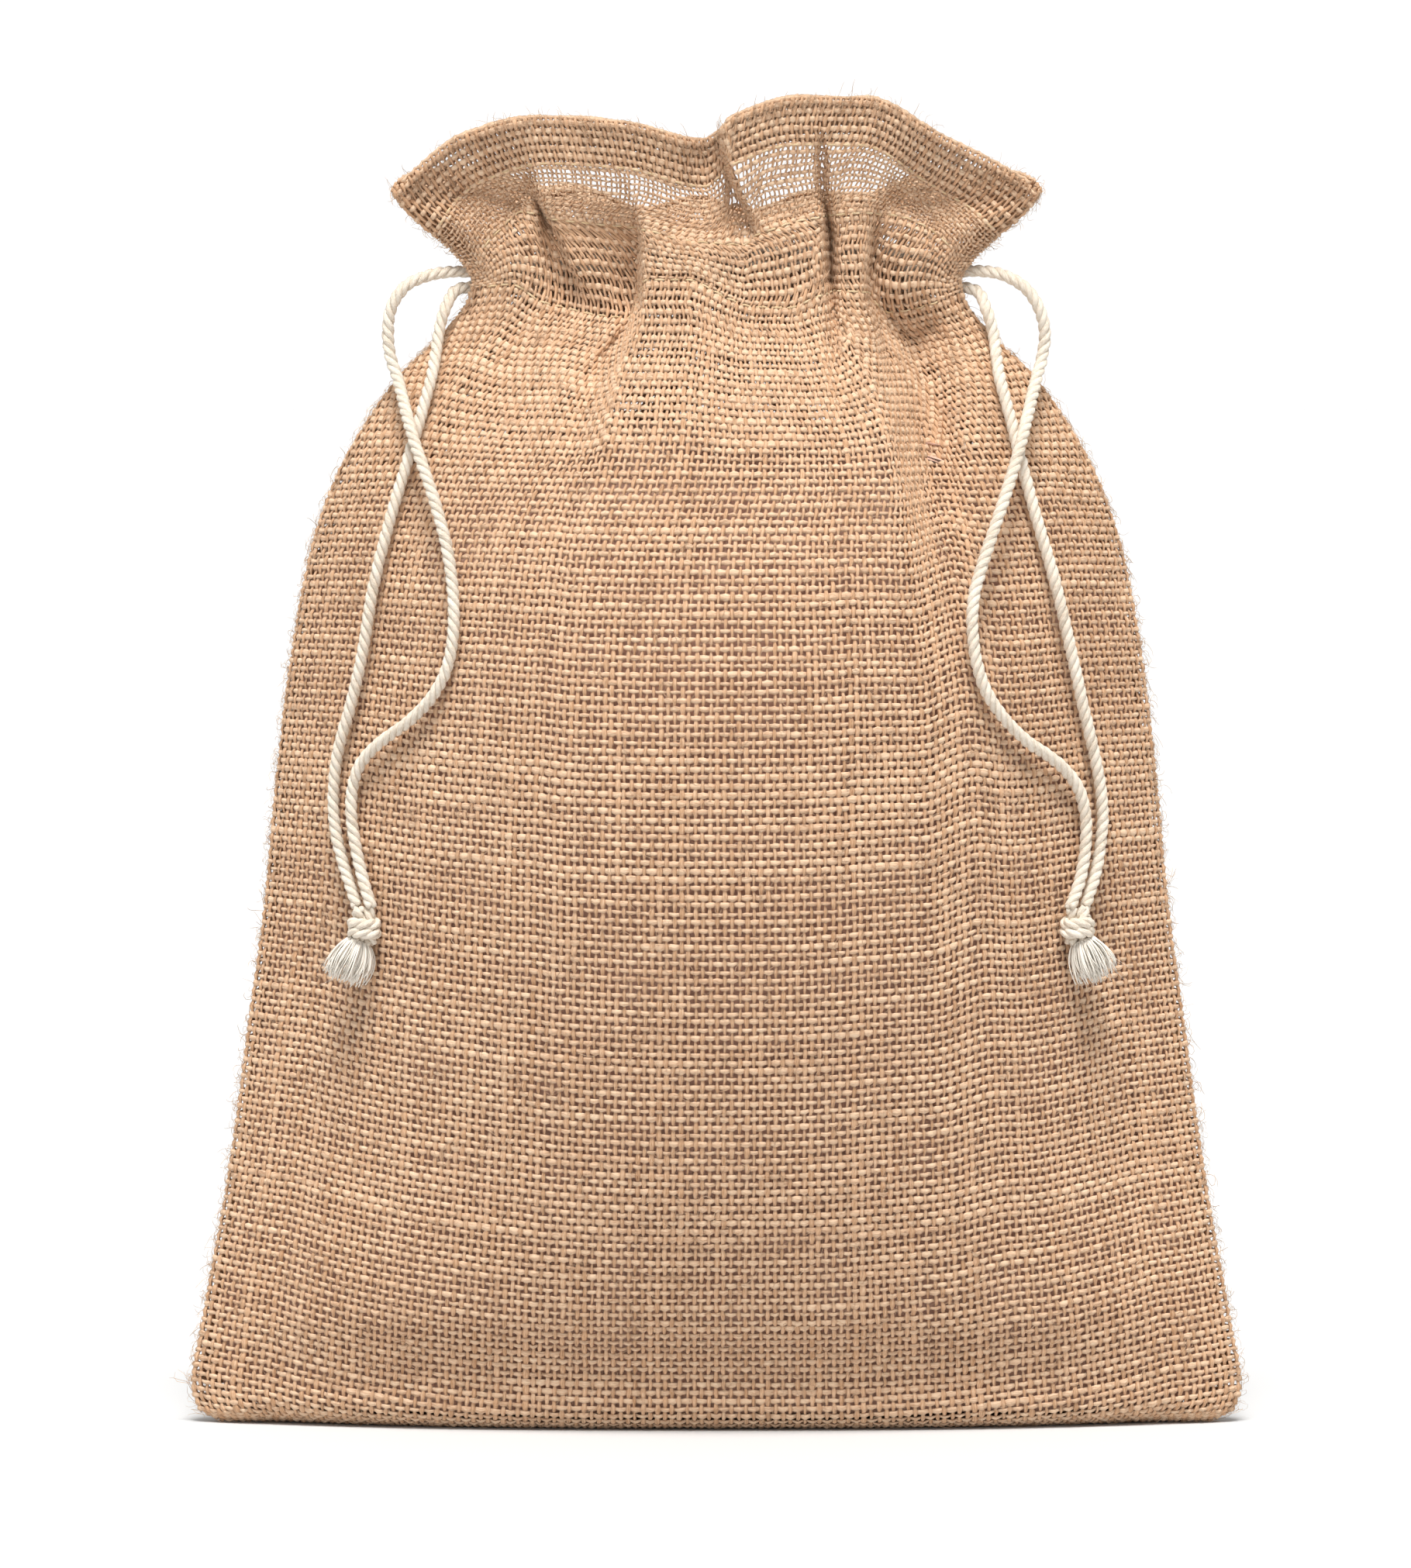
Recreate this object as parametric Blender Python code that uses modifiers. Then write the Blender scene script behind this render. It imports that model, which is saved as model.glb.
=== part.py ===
"""A drawstring gift pouch of jute hessian, standing full, with its neck drawn in by two cords.

Lengths are in millimetres here and become metres when an object is made. The pouch stands on z = 0,
its front faces -Y, and x = 0 is the middle of its width. A place on a panel is given by s, from -1 at
the left seam to 1 at the right seam, and by t, the distance up the cloth from the bottom seam.
"""

import math

import bmesh
import bpy
import numpy as np

METRE = 0.001

# Height and half width of the standing pouch, up to the neck.
OUTLINE = [(0, 118), (3, 123.4), (9, 125), (22, 122.8), (60, 116), (96, 111), (124, 107.2),
           (152, 104.5), (180, 101.2), (206, 96.5), (224, 90.5), (237, 83.5), (250, 74), (258, 65.6),
           (267, 59), (272, 57.8)]
# Height and bulge of each panel in front of its side edges.
BULGE = [(0, 20), (8, 22), (30, 31), (60, 41), (100, 50), (140, 55.5), (175, 57), (200, 54), (220, 47),
         (237, 37.5), (252, 26), (262, 19), (272, 15)]
# Position across the header and height of the front header's top edge.
TOP_EDGE = [(-1, 293), (-0.78, 306), (-0.55, 310.5), (-0.3, 309.5), (-0.04, 305), (0.06, 311),
            (0.26, 315.2), (0.46, 315), (0.7, 305.7), (0.87, 299), (1, 293)]

NECK_HEIGHT = 272.0
NECK_HALF_WIDTH = 57.8
TIP_HALF_WIDTH = 76.5
CLOTH_THICKNESS = 1.0
STRIP_THICKNESS = 0.8
GAP = 0.3
EDGE_DEPTH = 2.0  # how far each panel's side edge lies from the mid plane
SLIT_DEPTH = 1.7  # how much further it lies where the cords come out
SLIT_HALF_HEIGHT = 9.0
BASE_HALF_DEPTH = 20.0
TURN_RADIUS = 8.0
HEADER_BULGE = 18.0
FIN_REACH = 12.0  # how far forward the header's side tips flare
BACK_HEADER_LENGTH = 34.0
BACK_HEADER_LEAN = math.radians(68)

# Distances up the cloth: the flat base, the turn into the wall, the neck line and the top edge.
BASE_END = 14.0
TURN_END = 27.0
NECK_LINE = 308.0
TOP_LINE = 350.0
CASING_HALF_HEIGHT = 8.0
CHANNEL_HALF_HEIGHT = 6.8
CHANNEL_DEPTH = 3.5
HEM_HEIGHT = 10.5
CASING_REACH = 0.8
HEM_REACH = 0.86

SEAM_ALLOWANCE = 7.5
THREAD_RADIUS = 0.3
THREAD_LIFT = 0.85  # from the cloth to the middle of a stitch
CORD_RADIUS = 1.4
CORD_LEVEL = 5.0  # how far each cord's loop runs above or below the neck line, in the casing
FAR_LEVEL = 4.9  # the same, where it turns round the far seam
PULL_TAIL = 28.0  # the straight stretch of cord inside the neck that a pull draws out
TAIL_START = 57.3  # how far out the tail begins, clear of the hanging cord as it swings
TAIL_LEVEL = 1.65
CORD_POINT_STEP = 6.0

# Each hanging cord: how far out it lies, its height and its clearance from the cloth.
LEFT_LOOP = [(58.9, 273.7, 0), (62.9, 273.8, 0.7), (66.6, 273.3, 1.2), (70.5, 272.2, 1.4),
             (74, 270, 1.6), (76.4, 266.6, 1.8), (77.6, 261, 2.2), (77.3, 255, 3.2), (75.4, 249, 4.9),
             (71.6, 236, 5.9), (66.9, 223, 4.7), (63.2, 210, 3.0), (61.5, 196, 2.4), (62.6, 184, 2.4),
             (66.2, 176, 2.4), (72, 169.5, 2.4), (78.8, 164.2, 2.4), (83.3, 159.5, 2.5),
             (85.6, 153.5, 2.5), (86, 146.5, 2.5), (84.9, 139, 2.5), (83.2, 131.6, 2.8), (81.2, 125.2, 3.6)]
LEFT_FRONT = [(58.9, 270.3, 0), (61.3, 269.7, 0.4), (63.6, 266.4, 1.4), (65.2, 261.5, 2.6),
              (66.1, 256, 2.8), (67.2, 249.5, 2.8), (70.2, 238.5, 2.3), (73.2, 228.4, 2.3),
              (77, 215.4, 2.3), (80.7, 200.5, 2.3), (83.5, 183.7, 2.3), (86.6, 170.7, 2.3),
              (89.2, 161.4, 2.3), (90.3, 152.1, 2.3), (90.1, 144.6, 2.3), (88.6, 137.2, 2.4),
              (86.5, 130.6, 2.8), (84.6, 125.2, 3.6)]
RIGHT_LOOP = [(58.9, 273.7, 0), (62.6, 274, 0.7), (66.4, 273.6, 1.2), (72, 270.9, 1.5),
              (75.7, 266.4, 1.8), (77.6, 260, 2.2), (76.9, 253.5, 3.2), (74.9, 246.5, 4.9),
              (71.4, 233.5, 5.9), (67.4, 221, 4.7), (63.2, 209, 3.0), (60.2, 198.6, 2.4),
              (60, 189.3, 2.4), (61.8, 180, 2.4), (65.6, 172.6, 2.4), (72, 165.3, 2.4),
              (79.4, 159.8, 2.4), (84.6, 154, 2.5), (86.9, 146.5, 2.5), (86.8, 138, 2.5),
              (85.5, 131, 2.8), (83.2, 124.9, 3.6)]
RIGHT_FRONT = [(58.9, 270.3, 0), (61.3, 269.5, 0.4), (63.5, 265.8, 1.4), (65.6, 258.5, 2.8),
               (66.6, 250, 2.8), (69.2, 240, 2.3), (72, 228.5, 2.3), (75.4, 216, 2.3),
               (79.6, 201.5, 2.3), (83.6, 184.5, 2.3), (86.8, 170, 2.3), (89.4, 159, 2.3),
               (91, 148.3, 2.3), (90.6, 139.5, 2.4), (89, 131.5, 2.8), (86.7, 124.9, 3.6)]
KNOT_HEIGHT = 120.3
KNOT_CENTRE = {-1: 82.9, 1: 84.95}
KNOT_RADII = (4.4, 3.5, 3.6)
TASSEL_LENGTH = 11.0
TASSEL_LEAN = math.radians(22)

JUTE = (0.52, 0.32, 0.19)
JUTE_DARK = (0.40, 0.23, 0.13)
THREAD = (0.62, 0.43, 0.25)
COTTON = (0.82, 0.77, 0.68)
FILLING = (0.45, 0.27, 0.20)


def smooth_value(x, points):
    """A smooth curve through the points that never swings past them."""
    xs, ys = np.array(points, float).T
    step = np.diff(xs)
    rise = np.diff(ys) / step
    slope = np.concatenate([rise[:1], (rise[:-1] + rise[1:]) / 2, rise[-1:]])
    for k in range(1, len(xs) - 1):
        before, after = rise[k - 1], rise[k]
        slope[k] = 2 * before * after / (before + after) if before * after > 0 else 0.0
    x = np.clip(x, xs[0], xs[-1])
    k = np.clip(np.searchsorted(xs, x, side="right") - 1, 0, len(xs) - 2)
    f = (x - xs[k]) / step[k]
    return ((1 + 2 * f) * (1 - f) ** 2 * ys[k] + f * (1 - f) ** 2 * step[k] * slope[k]
            + f * f * (3 - 2 * f) * ys[k + 1] - f * f * (1 - f) * step[k] * slope[k + 1])


def edge_depth(height):
    """How far a panel's side edge lies from the mid plane, more where the cords come out."""
    near = np.clip(1 - np.abs(height - NECK_HEIGHT) / (1.6 * SLIT_HALF_HEIGHT), 0, 1)
    return EDGE_DEPTH + SLIT_DEPTH * near * near * (3 - 2 * near)


def wall(s, height):
    """x and depth of the wall at a height."""
    power = smooth_value(height, [(0, 2.6), (8, 2.6), (80, 2.0), (272, 2.0)])
    depth = edge_depth(height) + smooth_value(height, BULGE) * (1 - np.abs(s) ** power)
    return s * smooth_value(height, OUTLINE), depth


def base_and_turn(s, t):
    """x, depth and height where the cloth lies on the floor and turns up into the wall."""
    reach = EDGE_DEPTH + BASE_HALF_DEPTH * (1 - np.abs(s) ** 2.6)
    radius = np.minimum(TURN_RADIUS, reach - 0.5)
    along = np.clip(t / BASE_END, 0, 1)
    angle = np.clip((t - BASE_END) / (TURN_END - BASE_END), 0, 1) * math.pi / 2
    depth = GAP / 2 + (reach - radius - GAP / 2) * along + radius * np.sin(angle)
    height = radius * (1 - np.cos(angle))
    return s * smooth_value(height, OUTLINE), depth, height, radius


def fin_forward(s, along):
    """How far both panels flare forward towards the header's side tips."""
    return FIN_REACH * np.abs(s) ** 6 * along ** 1.5


def header(side, s, t):
    """x, depth and height above the neck line."""
    along = (t - NECK_LINE) / (TOP_LINE - NECK_LINE)
    flare = along * along * (3 - 2 * along) * 0.6 + along * 0.4
    x = s * (NECK_HALF_WIDTH + (TIP_HALF_WIDTH - NECK_HALF_WIDTH) * flare)
    rise = smooth_value(s, TOP_EDGE) - NECK_HEIGHT
    lens = 1 - s * s
    neck_bulge = BULGE[-1][1]
    if side < 0:
        depth = (neck_bulge + (HEADER_BULGE - neck_bulge) * along) * lens
        height = NECK_HEIGHT + rise * along
    else:
        tip_rise = TOP_EDGE[0][1] - NECK_HEIGHT
        length = tip_rise + (BACK_HEADER_LENGTH - tip_rise) * np.sqrt(lens)
        casing_top = NECK_LINE + CASING_HALF_HEIGHT
        above = np.clip((t - casing_top) / (TOP_LINE - casing_top), 0, 1)
        lean = BACK_HEADER_LEAN * lens ** 0.8 * np.sqrt(above)
        depth = neck_bulge * lens + length * along * np.sin(lean)
        height = NECK_HEIGHT + length * along * np.cos(lean)
    return x, edge_depth(height) + depth - side * fin_forward(s, along), height


def cloth(side, s, t):
    """The outer surface of the front (side -1) or back (side 1) panel."""
    s, t = np.broadcast_arrays(np.asarray(s, float), np.asarray(t, float))
    low_x, low_depth, low_height, radius = base_and_turn(s, t)
    rise = np.clip((t - TURN_END) / (NECK_LINE - TURN_END), 0, 1)
    wall_height = radius + (NECK_HEIGHT - radius) * rise
    wall_x, wall_depth = wall(s, wall_height)
    top_x, top_depth, top_height = header(side, s, np.maximum(t, NECK_LINE))
    low, top = t < TURN_END, t > NECK_LINE
    x = np.where(low, low_x, np.where(top, top_x, wall_x))
    depth = np.where(low, low_depth, np.where(top, top_depth, wall_depth))
    height = np.where(low, low_height, np.where(top, top_height, wall_height))
    return np.stack([x, side * depth, height], -1)


def outward(side, s, t):
    """Unit normals of the cloth, pointing out of the pouch."""
    s, t = np.broadcast_arrays(np.asarray(s, float), np.asarray(t, float))
    across = cloth(side, np.clip(s + 0.01, -1, 1), t) - cloth(side, np.clip(s - 0.01, -1, 1), t)
    up = (cloth(side, s, np.clip(t + 0.6, 0, TOP_LINE)) - cloth(side, s, np.clip(t - 0.6, 0, TOP_LINE)))
    normal = -side * np.cross(across, up)
    return normal / np.linalg.norm(normal, axis=-1, keepdims=True)


def front_depth(x, height):
    """How far the front of the pouch lies from the mid plane at a place."""
    s = np.clip(np.abs(x) / smooth_value(height, OUTLINE), 0, 1)
    return float(wall(s, height)[1])


def depth_in_front(x, height, clearance):
    """The depth of a point that lies this far in front of the cloth, square to it."""
    across = (front_depth(x + 1, height) - front_depth(x - 1, height)) / 2
    up = (front_depth(x, height + 1) - front_depth(x, height - 1)) / 2
    return front_depth(x, height) + clearance * math.sqrt(1 + across ** 2 + up ** 2)


def material(name, colour, roughness=0.9):
    made = bpy.data.materials.new(name)
    made.use_nodes = True
    shader = made.node_tree.nodes["Principled BSDF"]
    shader.inputs["Base Color"].default_value = (*colour, 1)
    shader.inputs["Roughness"].default_value = roughness
    shader.inputs["Metallic"].default_value = 0.0
    return made


def place(collection, name, data, colour, parent=None):
    """Links a new object with a material of its own."""
    made = bpy.data.objects.new(name, data)
    data.materials.append(material(name + "_material", colour))
    collection.objects.link(made)
    if parent is not None:
        made.parent = parent
    return made


def sheet(collection, name, points, thickness, colour, flip=False, offset=-1.0):
    """A closed sheet on a grid of points, rows by columns."""
    rows, columns = points.shape[:2]
    bm = bmesh.new()
    bmesh.ops.create_grid(bm, x_segments=columns - 1, y_segments=rows - 1, size=1.0)
    for vert in bm.verts:
        column = round((vert.co.x + 1) / 2 * (columns - 1))
        row = round((vert.co.y + 1) / 2 * (rows - 1))
        vert.co = points[row, column] * METRE
    if flip:
        bmesh.ops.reverse_faces(bm, faces=bm.faces)
    mesh = bpy.data.meshes.new(name)
    bm.to_mesh(mesh)
    bm.free()
    made = place(collection, name, mesh, colour)
    solidify = made.modifiers.new("Thickness", "SOLIDIFY")
    solidify.thickness = thickness * METRE
    solidify.offset = offset
    mesh.shade_smooth()
    return made


def tube(collection, name, points, radius, colour, resolution=2, parent=None):
    """A closed tube along the points, which are relative to the parent's place."""
    curve = bpy.data.curves.new(name, "CURVE")
    curve.dimensions = "3D"
    curve.bevel_depth = radius * METRE
    curve.bevel_resolution = resolution
    curve.use_fill_caps = True
    spline = curve.splines.new("POLY")
    start = np.array(parent.location) / METRE if parent is not None else np.zeros(3)
    spline.points.add(len(points) - 1)
    for spot, point in zip(spline.points, points, strict=True):
        spot.co = (*((np.array(point) - start) * METRE), 1)
    return place(collection, name, curve, colour, parent)


def along_route(points, step):
    """Evenly spaced points on a smooth curve through the given ones."""
    knots = np.array(points, float)
    padded = np.vstack([2 * knots[0] - knots[1], knots, 2 * knots[-1] - knots[-2]])
    fine = []
    for k in range(len(knots) - 1):
        a, b, c, d = padded[k:k + 4]
        f = np.linspace(0, 1, 24, endpoint=False)[:, None]
        fine.append(0.5 * (2 * b + (c - a) * f + (2 * a - 5 * b + 4 * c - d) * f ** 2
                           + (3 * b - a - 3 * c + d) * f ** 3))
    fine = np.vstack([*fine, knots[-1:]])
    run = np.concatenate([[0], np.cumsum(np.linalg.norm(np.diff(fine, axis=0), axis=1))])
    wanted = np.linspace(0, run[-1], max(2, round(run[-1] / step)) + 1)
    return np.stack([np.interp(wanted, run, fine[:, k]) for k in range(3)], 1)


def hanging_route(hand, route):
    """The points of a hanging cord, lying just in front of the cloth."""
    points = []
    for out, height, clearance in route:
        depth = depth_in_front(out, height, clearance) * min(1.0, clearance / 1.6)
        points.append((hand * out, -depth, height))
    return along_route(points, CORD_POINT_STEP)


def ring(collection, name, sections, colour):
    """A closed body through rings of points, with flat ends."""
    bm = bmesh.new()
    loops = [[bm.verts.new(np.array(p) * METRE) for p in section] for section in sections]
    for below, above in zip(loops[:-1], loops[1:], strict=True):
        count = len(below)
        for k in range(count):
            bm.faces.new((below[k], below[(k + 1) % count], above[(k + 1) % count], above[k]))
    bm.faces.new(loops[0][::-1])
    bm.faces.new(loops[-1])
    bmesh.ops.recalc_face_normals(bm, faces=bm.faces)
    mesh = bpy.data.meshes.new(name)
    bm.to_mesh(mesh)
    bm.free()
    mesh.shade_smooth()
    return place(collection, name, mesh, colour)


COLUMNS = np.linspace(-1, 1, 25)
WALL_STEPS = np.concatenate([[0, 0.03], np.linspace(0, 1, 13)[1:]])  # a row at the widest height
WALL_ROWS = TURN_END + (NECK_LINE - CASING_HALF_HEIGHT - TURN_END) * WALL_STEPS
ROWS = np.concatenate([[0, BASE_END / 2, BASE_END], BASE_END + (TURN_END - BASE_END) * np.array([1, 2]) / 3,
                       WALL_ROWS, [NECK_LINE - CHANNEL_HALF_HEIGHT, NECK_LINE,
                                   NECK_LINE + CHANNEL_HALF_HEIGHT, NECK_LINE + CASING_HALF_HEIGHT,
                                   NECK_LINE + 20, TOP_LINE - HEM_HEIGHT, TOP_LINE]])


def strip_points(side, columns, rows, depths):
    """Points inside the cloth, each row at its own depth below the outer surface."""
    s, t = np.meshgrid(columns, rows)
    return cloth(side, s, t) - outward(side, s, t) * np.array(depths)[:, None, None]


def panels(collection):
    for side, name in ((-1, "front_panel"), (1, "back_panel")):
        s, t = np.meshgrid(COLUMNS, ROWS)
        sheet(collection, name, cloth(side, s, t), CLOTH_THICKNESS, JUTE, flip=side > 0)


def hems_and_casings(collection):
    """The turned-in top hem and the strip that holds the cords, behind each panel."""
    under = CLOTH_THICKNESS + GAP
    casing_rows = NECK_LINE + np.array([-CASING_HALF_HEIGHT, -CHANNEL_HALF_HEIGHT, 0,
                                        CHANNEL_HALF_HEIGHT, CASING_HALF_HEIGHT])
    deep = under + CHANNEL_DEPTH
    for side, name in ((-1, "front"), (1, "back")):
        hem_columns = COLUMNS[np.abs(COLUMNS) <= HEM_REACH]
        points = strip_points(side, hem_columns, [TOP_LINE - HEM_HEIGHT, TOP_LINE], [under, under])
        sheet(collection, name + "_top_hem", points, STRIP_THICKNESS, JUTE_DARK, flip=side > 0)
        columns = COLUMNS[np.abs(COLUMNS) <= CASING_REACH]
        points = strip_points(side, columns, casing_rows, [under, deep, deep, deep, under])
        sheet(collection, name + "_casing", points, STRIP_THICKNESS, JUTE_DARK, flip=side > 0)


def row_stitch(collection, name, side, row, columns):
    """A row of thread on the outside of a panel."""
    points = cloth(side, columns, row) + outward(side, columns, row) * THREAD_LIFT
    tube(collection, name, points, THREAD_RADIUS, THREAD, resolution=0)


def stitches(collection):
    for side, name in ((-1, "front"), (1, "back")):
        columns = COLUMNS[1:-1]
        row_stitch(collection, name + "_casing_lower_stitch", side, NECK_LINE - CASING_HALF_HEIGHT, columns)
        row_stitch(collection, name + "_casing_upper_stitch", side, NECK_LINE + CASING_HALF_HEIGHT, columns)
        row_stitch(collection, name + "_hem_stitch", side, TOP_LINE - HEM_HEIGHT, columns)


def mid_plane_strip(collection, name, *lines):
    """A seam allowance: both panels' edges turned in and lying together midway between them."""
    points = np.stack(lines, 1)
    sheet(collection, name, points, 2 * EDGE_DEPTH * 0.3, JUTE_DARK, offset=0.0)


def seams(collection):
    heights = np.linspace(12, NECK_HEIGHT - SLIT_HALF_HEIGHT - 2, 15)
    for hand, name in ((-1, "left"), (1, "right")):
        edge = smooth_value(heights, OUTLINE) - 1.5
        outer = np.stack([hand * edge, 0 * heights, heights], 1)
        inner = outer - [hand * SEAM_ALLOWANCE, 0, 0]
        mid_plane_strip(collection, name + "_seam_allowance", outer, inner)
        thread = inner - [hand * THREAD_LIFT, 0, 0]
        tube(collection, name + "_seam_stitch", thread, THREAD_RADIUS, THREAD, resolution=0)
        rows = np.array([NECK_LINE + 16, NECK_LINE + 20, TOP_LINE - HEM_HEIGHT, TOP_LINE - 3])
        top = (cloth(-1, float(hand), rows) + cloth(1, float(hand), rows)) / 2
        along = (rows - NECK_LINE) / (TOP_LINE - NECK_LINE)
        slope = (fin_forward(1, along) - fin_forward(COLUMNS[-2], along)) / (1 - COLUMNS[-2])
        lines = []
        for reach in (0.9, SEAM_ALLOWANCE - 3):
            back = slope * reach / np.abs(top[:, 0])
            lines.append(top + np.stack([0 * back - hand * reach, back, 0 * back], 1))
        mid_plane_strip(collection, name + "_header_seam_allowance", *lines)
    across = np.linspace(-108, 108, 17)
    low = np.stack([across, 0 * across, 0 * across + CLOTH_THICKNESS + GAP], 1)
    high = low + [0, 0, SEAM_ALLOWANCE]
    mid_plane_strip(collection, "bottom_seam_allowance", low, high)
    tube(collection, "bottom_seam_stitch", high + [0, 0, THREAD_LIFT], THREAD_RADIUS, THREAD, resolution=0)


def cord_in_casing(collection, name, hand, level):
    """The cord's loop through both casings, round the far seam and back."""
    depth = CLOTH_THICKNESS + 2 * GAP + CORD_RADIUS
    kept = COLUMNS[(COLUMNS * hand <= 0.5) & (COLUMNS * hand >= -0.76)]
    kept = kept[np.argsort(-kept * hand)]
    row = NECK_LINE + level
    front = cloth(-1, kept, row) - outward(-1, kept, row) * depth
    back = cloth(1, kept, row) - outward(1, kept, row) * depth
    height = NECK_HEIGHT + math.copysign(FAR_LEVEL, level)
    far = -hand * (NECK_HALF_WIDTH - 4.5)
    turn = [(far * 0.955, -4.2, height), (far, 0, height), (far * 0.955, 4.2, height)]
    tube(collection, name, np.vstack([front, turn, back[::-1]]), CORD_RADIUS, COTTON)


def knot_and_tassel(collection, name, hand, swing):
    """The overhand knot that joins a side's two cord ends, and their frayed ends below it."""
    out = KNOT_CENTRE[hand]
    centre = np.array([hand * out, -depth_in_front(out, KNOT_HEIGHT, KNOT_RADII[1] + 0.5), KNOT_HEIGHT])
    start = np.array(swing.location) / METRE
    bm = bmesh.new()
    bmesh.ops.create_uvsphere(bm, u_segments=12, v_segments=8, radius=1.0)
    for vert in bm.verts:
        vert.co = (np.array(vert.co) * KNOT_RADII + centre - start) * METRE
    mesh = bpy.data.meshes.new(name + "_knot")
    bm.to_mesh(mesh)
    bm.free()
    mesh.shade_smooth()
    place(collection, name + "_knot", mesh, COTTON, swing)
    bm = bmesh.new()
    bmesh.ops.create_cone(bm, cap_ends=True, segments=12, radius1=5.6, radius2=2.4, depth=TASSEL_LENGTH)
    drop = KNOT_RADII[2] + GAP + TASSEL_LENGTH / 2 + 0.9
    turned = hand * TASSEL_LEAN
    for vert in bm.verts:
        x, y, z = vert.co
        z -= drop
        local = np.array([x * math.cos(turned) - z * math.sin(turned), y * 0.5,
                          x * math.sin(turned) + z * math.cos(turned)])
        vert.co = (local + centre - start) * METRE
    mesh = bpy.data.meshes.new(name + "_tassel")
    bm.to_mesh(mesh)
    bm.free()
    place(collection, name + "_tassel", mesh, COTTON, swing)


def drawstrings(collection):
    routes = {-1: ("left", LEFT_LOOP, LEFT_FRONT), 1: ("right", RIGHT_LOOP, RIGHT_FRONT)}
    for hand, (name, loop, front) in routes.items():
        cord_in_casing(collection, name + "_cord_in_casing", hand, -hand * CORD_LEVEL)
        swing = bpy.data.objects.new(name + "_cord_exit", None)
        swing.location = (hand * 58.3 * METRE, 0, NECK_HEIGHT * METRE)
        collection.objects.link(swing)
        for end, level in (("loop", TAIL_LEVEL), ("front", -TAIL_LEVEL)):
            outs = np.linspace(TAIL_START, TAIL_START - PULL_TAIL, 6)
            tail = [(hand * out, 0, NECK_HEIGHT + level) for out in outs]
            tube(collection, f"{name}_{end}_cord_tail", tail, CORD_RADIUS, COTTON, parent=swing)
        tube(collection, name + "_loop_cord", hanging_route(hand, loop), CORD_RADIUS, COTTON, parent=swing)
        tube(collection, name + "_front_cord", hanging_route(hand, front), CORD_RADIUS, COTTON, parent=swing)
        knot_and_tassel(collection, name, hand, swing)


def filling(collection):
    """The soft contents that keep the body round."""
    under = CLOTH_THICKNESS + 0.6
    sections = []
    for height in (11, 24, 60, 100, 140, 175, 198, 212, 226, 238):
        shrink = 1.0 if 20 < height < 220 else 0.8
        s = np.linspace(-0.88, 0.88, 11) * shrink
        x, depth = wall(s, height)
        depth = (depth - under * 1.5) * (1 if height > 20 else 0.8) * (1 if height < 230 else 0.7)
        front = np.stack([x, -depth, 0 * x + height], 1)
        back = np.stack([x, depth, 0 * x + height], 1)[::-1]
        sections.append(np.vstack([front, back]))
    ring(collection, "filling", sections, FILLING)


def build():
    for old in list(bpy.data.objects):
        bpy.data.objects.remove(old, do_unlink=True)
    collection = bpy.data.collections.new("drawstring_gift_pouch")
    bpy.context.scene.collection.children.link(collection)
    panels(collection)
    hems_and_casings(collection)
    stitches(collection)
    seams(collection)
    drawstrings(collection)
    filling(collection)


build()
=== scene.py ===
"""A drawstring gift pouch of jute hessian, woven yarn by yarn, with twisted cotton cords.

Lengths are in millimetres here and become metres when a mesh is made. The pouch stands on z = 0 and its
front faces -Y. A place on a panel is given by s, from -1 at the left seam to 1 at the right seam, and by
t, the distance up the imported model's cloth; the woven cloth adds folds and spaces its yarns evenly.
"""

import math

import bpy
import numpy as np
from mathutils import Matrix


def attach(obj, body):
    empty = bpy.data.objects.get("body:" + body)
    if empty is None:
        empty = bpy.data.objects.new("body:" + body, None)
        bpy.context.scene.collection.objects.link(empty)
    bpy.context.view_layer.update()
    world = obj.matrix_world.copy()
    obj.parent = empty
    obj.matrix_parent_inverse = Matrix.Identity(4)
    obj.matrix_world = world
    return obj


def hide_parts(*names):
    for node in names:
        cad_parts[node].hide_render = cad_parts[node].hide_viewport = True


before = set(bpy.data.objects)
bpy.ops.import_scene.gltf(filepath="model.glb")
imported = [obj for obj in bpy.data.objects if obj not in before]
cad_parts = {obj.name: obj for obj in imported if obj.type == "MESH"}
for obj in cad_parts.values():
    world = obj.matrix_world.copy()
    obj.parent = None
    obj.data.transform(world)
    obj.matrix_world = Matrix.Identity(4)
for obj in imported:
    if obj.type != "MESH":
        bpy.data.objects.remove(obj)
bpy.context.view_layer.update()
scene = bpy.context.scene

METRE = 0.001
rng = np.random.default_rng(70)


def table(text):
    """Lines of places: semicolons part the lines, commas the places and spaces their numbers."""
    return [[tuple(map(float, place.split())) for place in line.split(",")] for line in text.split(";")]


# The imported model's shapes, as in part.py, but for the bulge at height 8, which is 22 there: 20 lets the
# woven base and wall meet without a step.
OUTLINE, = table("""
0 118, 3 123.4, 9 125, 22 122.8, 60 116, 96 111, 124 107.2, 152 104.5, 180 101.2, 206 96.5, 224 90.5,
237 83.5, 250 74, 258 65.6, 267 59, 272 57.8""")
BULGE, = table("""
0 20, 8 20, 30 31, 60 41, 100 50, 140 55.5, 175 57, 200 54, 220 47, 237 37.5, 252 26, 262 19, 272 15""")
TOP_EDGE, = table("""
-1 293, -0.78 306, -0.55 310.5, -0.3 309.5, -0.04 305, 0.06 311, 0.26 315.2, 0.46 315, 0.7 305.7,
0.87 299, 1 293""")
NECK_HEIGHT = 272.0
NECK_HALF_WIDTH = 57.8
TIP_HALF_WIDTH = 76.5
EDGE_DEPTH = 2.0
SLIT_DEPTH = 1.7
SLIT_HALF_HEIGHT = 9.0
GAP = 0.3
BASE_HALF_DEPTH = 20.0
TURN_RADIUS = 8.0
HEADER_BULGE = 18.0
BACK_HEADER_LENGTH = 34.0
BACK_HEADER_LEAN = math.radians(68)
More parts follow.
